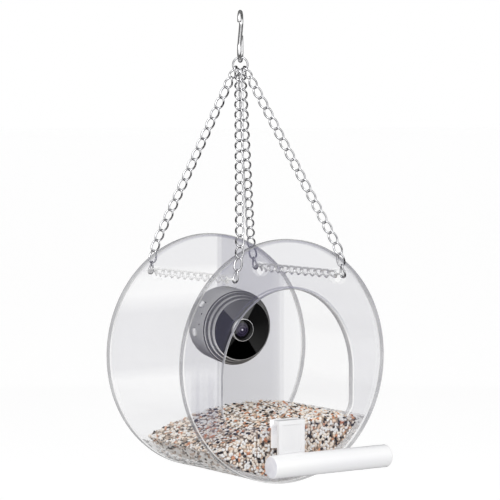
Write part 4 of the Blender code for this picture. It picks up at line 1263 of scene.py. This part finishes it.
def make_perch():
    low, high = corners("perch_rod")
    length, radius = high.x - low.x, (high.z - low.z) / 2
    across, along_rod = radius - PERCH_ROUND, length / 2 - PERCH_ROUND
    profile = [(0, length / 2)] + arc((across, along_rod), PERCH_ROUND, QUARTER, 0, 6)
    profile += arc((across, -along_rod), PERCH_ROUND, 0, -QUARTER, 6) + [(0, -length / 2)]
    matrix = Matrix.Translation((low + high) / 2) @ Matrix.Rotation(QUARTER, 4, "Y")
    mesh = turned(profile, 96)
    sort_faces(mesh, lambda face: abs(face.normal.z) > 0.9)
    add("round_perch", mesh, ("milky_acrylic", "perch_end"), "perch", "perch_rod", 30, matrix)


CARRIED = {
    "perch_clip": "clip_acrylic",
    "camera_mount_pad": "grey_foam",
    "camera_mount_steel_disc": "chain_steel",
    "camera_magnet_stand": "bright_ring",
    "camera_socket_cup": "chain_steel",
    "camera_lens_barrel": "black_plastic",
    "camera_image_sensor": "black_plastic",
    "camera_circuit_board": "circuit_board",
    "camera_battery": "battery_foil",
}


def dress_carried_nodes():
    for node, surface in CARRIED.items():
        for slot in bpy.data.objects[node].material_slots:
            slot.material = SURFACES[surface]


# Room

def make_floor():
    mesh = mesh_of([(-1, -1, 0), (1, -1, 0), (1, 1, 0), (-1, 1, 0)], [[0, 1, 2, 3]])
    mesh.transform(Matrix.Diagonal((FLOOR_SIZE, FLOOR_SIZE, 1, 1)))
    floor = put("floor", mesh)
    floor.location.z = FRONT_LOW.z - FLOOR_DROP
    floor.visible_glossy = False
    surface = Surface("floor_paper", (0.80, 0.80, 0.80), 0.9, specular_ior_level=0.1, emission_color=WHITE)
    path = surface.node("ShaderNodeLightPath").outputs
    seen = surface.sums("MAXIMUM", path["Is Camera Ray"], path["Is Glossy Ray"])
    surface.drive("Emission Strength", surface.product(seen, FLOOR_GLOW))
    mesh.materials.append(surface.material)


def add_shade(name, mesh, direction):
    """Hangs a dark screen around the feeder, which only its shiny surfaces show."""
    shade = put(name, mesh)
    shade.location = DRUM
    shade.rotation_euler = Vector(direction).to_track_quat("Z", "Y").to_euler()
    mesh.materials.append(Surface(f"{name}_cloth", (0.03, 0.03, 0.03), 0.9).material)
    shade.visible_camera = False
    shade.visible_diffuse = False
    shade.visible_shadow = False
    shade.visible_transmission = False


def make_shades():
    """A dark tent that is open to the feeder's front left, and a narrow upright screen in its mouth."""
    tent = [(TENT_RADIUS * math.sin(turn), TENT_RADIUS * math.cos(turn)) for turn in TENT_TURNS]
    tent[-1] = (0, -TENT_RADIUS)
    add_shade("dark_tent", turned(tent, 64), TENT_MOUTH)
    base = arc((0, 0), SCREEN_RADIUS, SCREEN_START, SCREEN_END, 6)
    points = [(x, y, height) for height in (-SCREEN_RADIUS, SCREEN_RADIUS) for x, y in base]
    count = len(base)
    screen = mesh_of(points, [[i, i + 1, count + i + 1, count + i] for i in range(count - 1)])
    add_shade("dark_screen", screen, (0, 0, 1))


def make_sky():
    world = bpy.data.worlds.new("studio")
    bpy.context.scene.world = world
    sky = Nodes(world)
    back = sky.tree.nodes["Background"]
    back.inputs["Color"].default_value = WHITE
    path = sky.node("ShaderNodeLightPath").outputs
    seen = sky.sums("MAXIMUM", path["Is Camera Ray"], path["Is Glossy Ray"])
    seen = sky.sums("MAXIMUM", seen, path["Is Transmission Ray"])
    level = sky.node("ShaderNodeMapRange", to_min=SKY_STRENGTH, to_max=1.0)
    sky.link(seen, level.inputs["Value"])
    sky.link(level.outputs["Result"], back.inputs["Strength"])


def make_lamp(name, direction, size, power):
    light = bpy.data.lights.new(name, "AREA")
    light.size = size
    light.energy = power
    lamp = put(name, light)
    away = Vector(direction).normalized()
    lamp.location = DRUM + away * LAMP_DISTANCE
    lamp.rotation_euler = away.to_track_quat("Z", "Y").to_euler()


def make_camera_view():
    data = bpy.data.cameras.new("photograph_view")
    data.lens = LENS_MM
    data.sensor_width = SENSOR_MM
    data.clip_end = 200
    view = put("photograph_view", data)
    view.location = DRUM + CAMERA_PLACE
    view.rotation_euler = (QUARTER - CAMERA_DIP, 0, -CAMERA_HEADING)
    bpy.context.scene.camera = view


bpy.context.scene.view_settings.view_transform = "Standard"
make_plates()
make_wall()
make_seed_heap()
make_hook()
make_ring()
make_chains()
make_camera()
make_perch()
dress_carried_nodes()
make_floor()
make_sky()
make_shades()
make_lamp("key", direction=(-0.9, -0.8, 1.0), size=0.9, power=8)
make_lamp("fill", direction=(0.8, -1.0, 0.3), size=1.2, power=3)
make_camera_view()
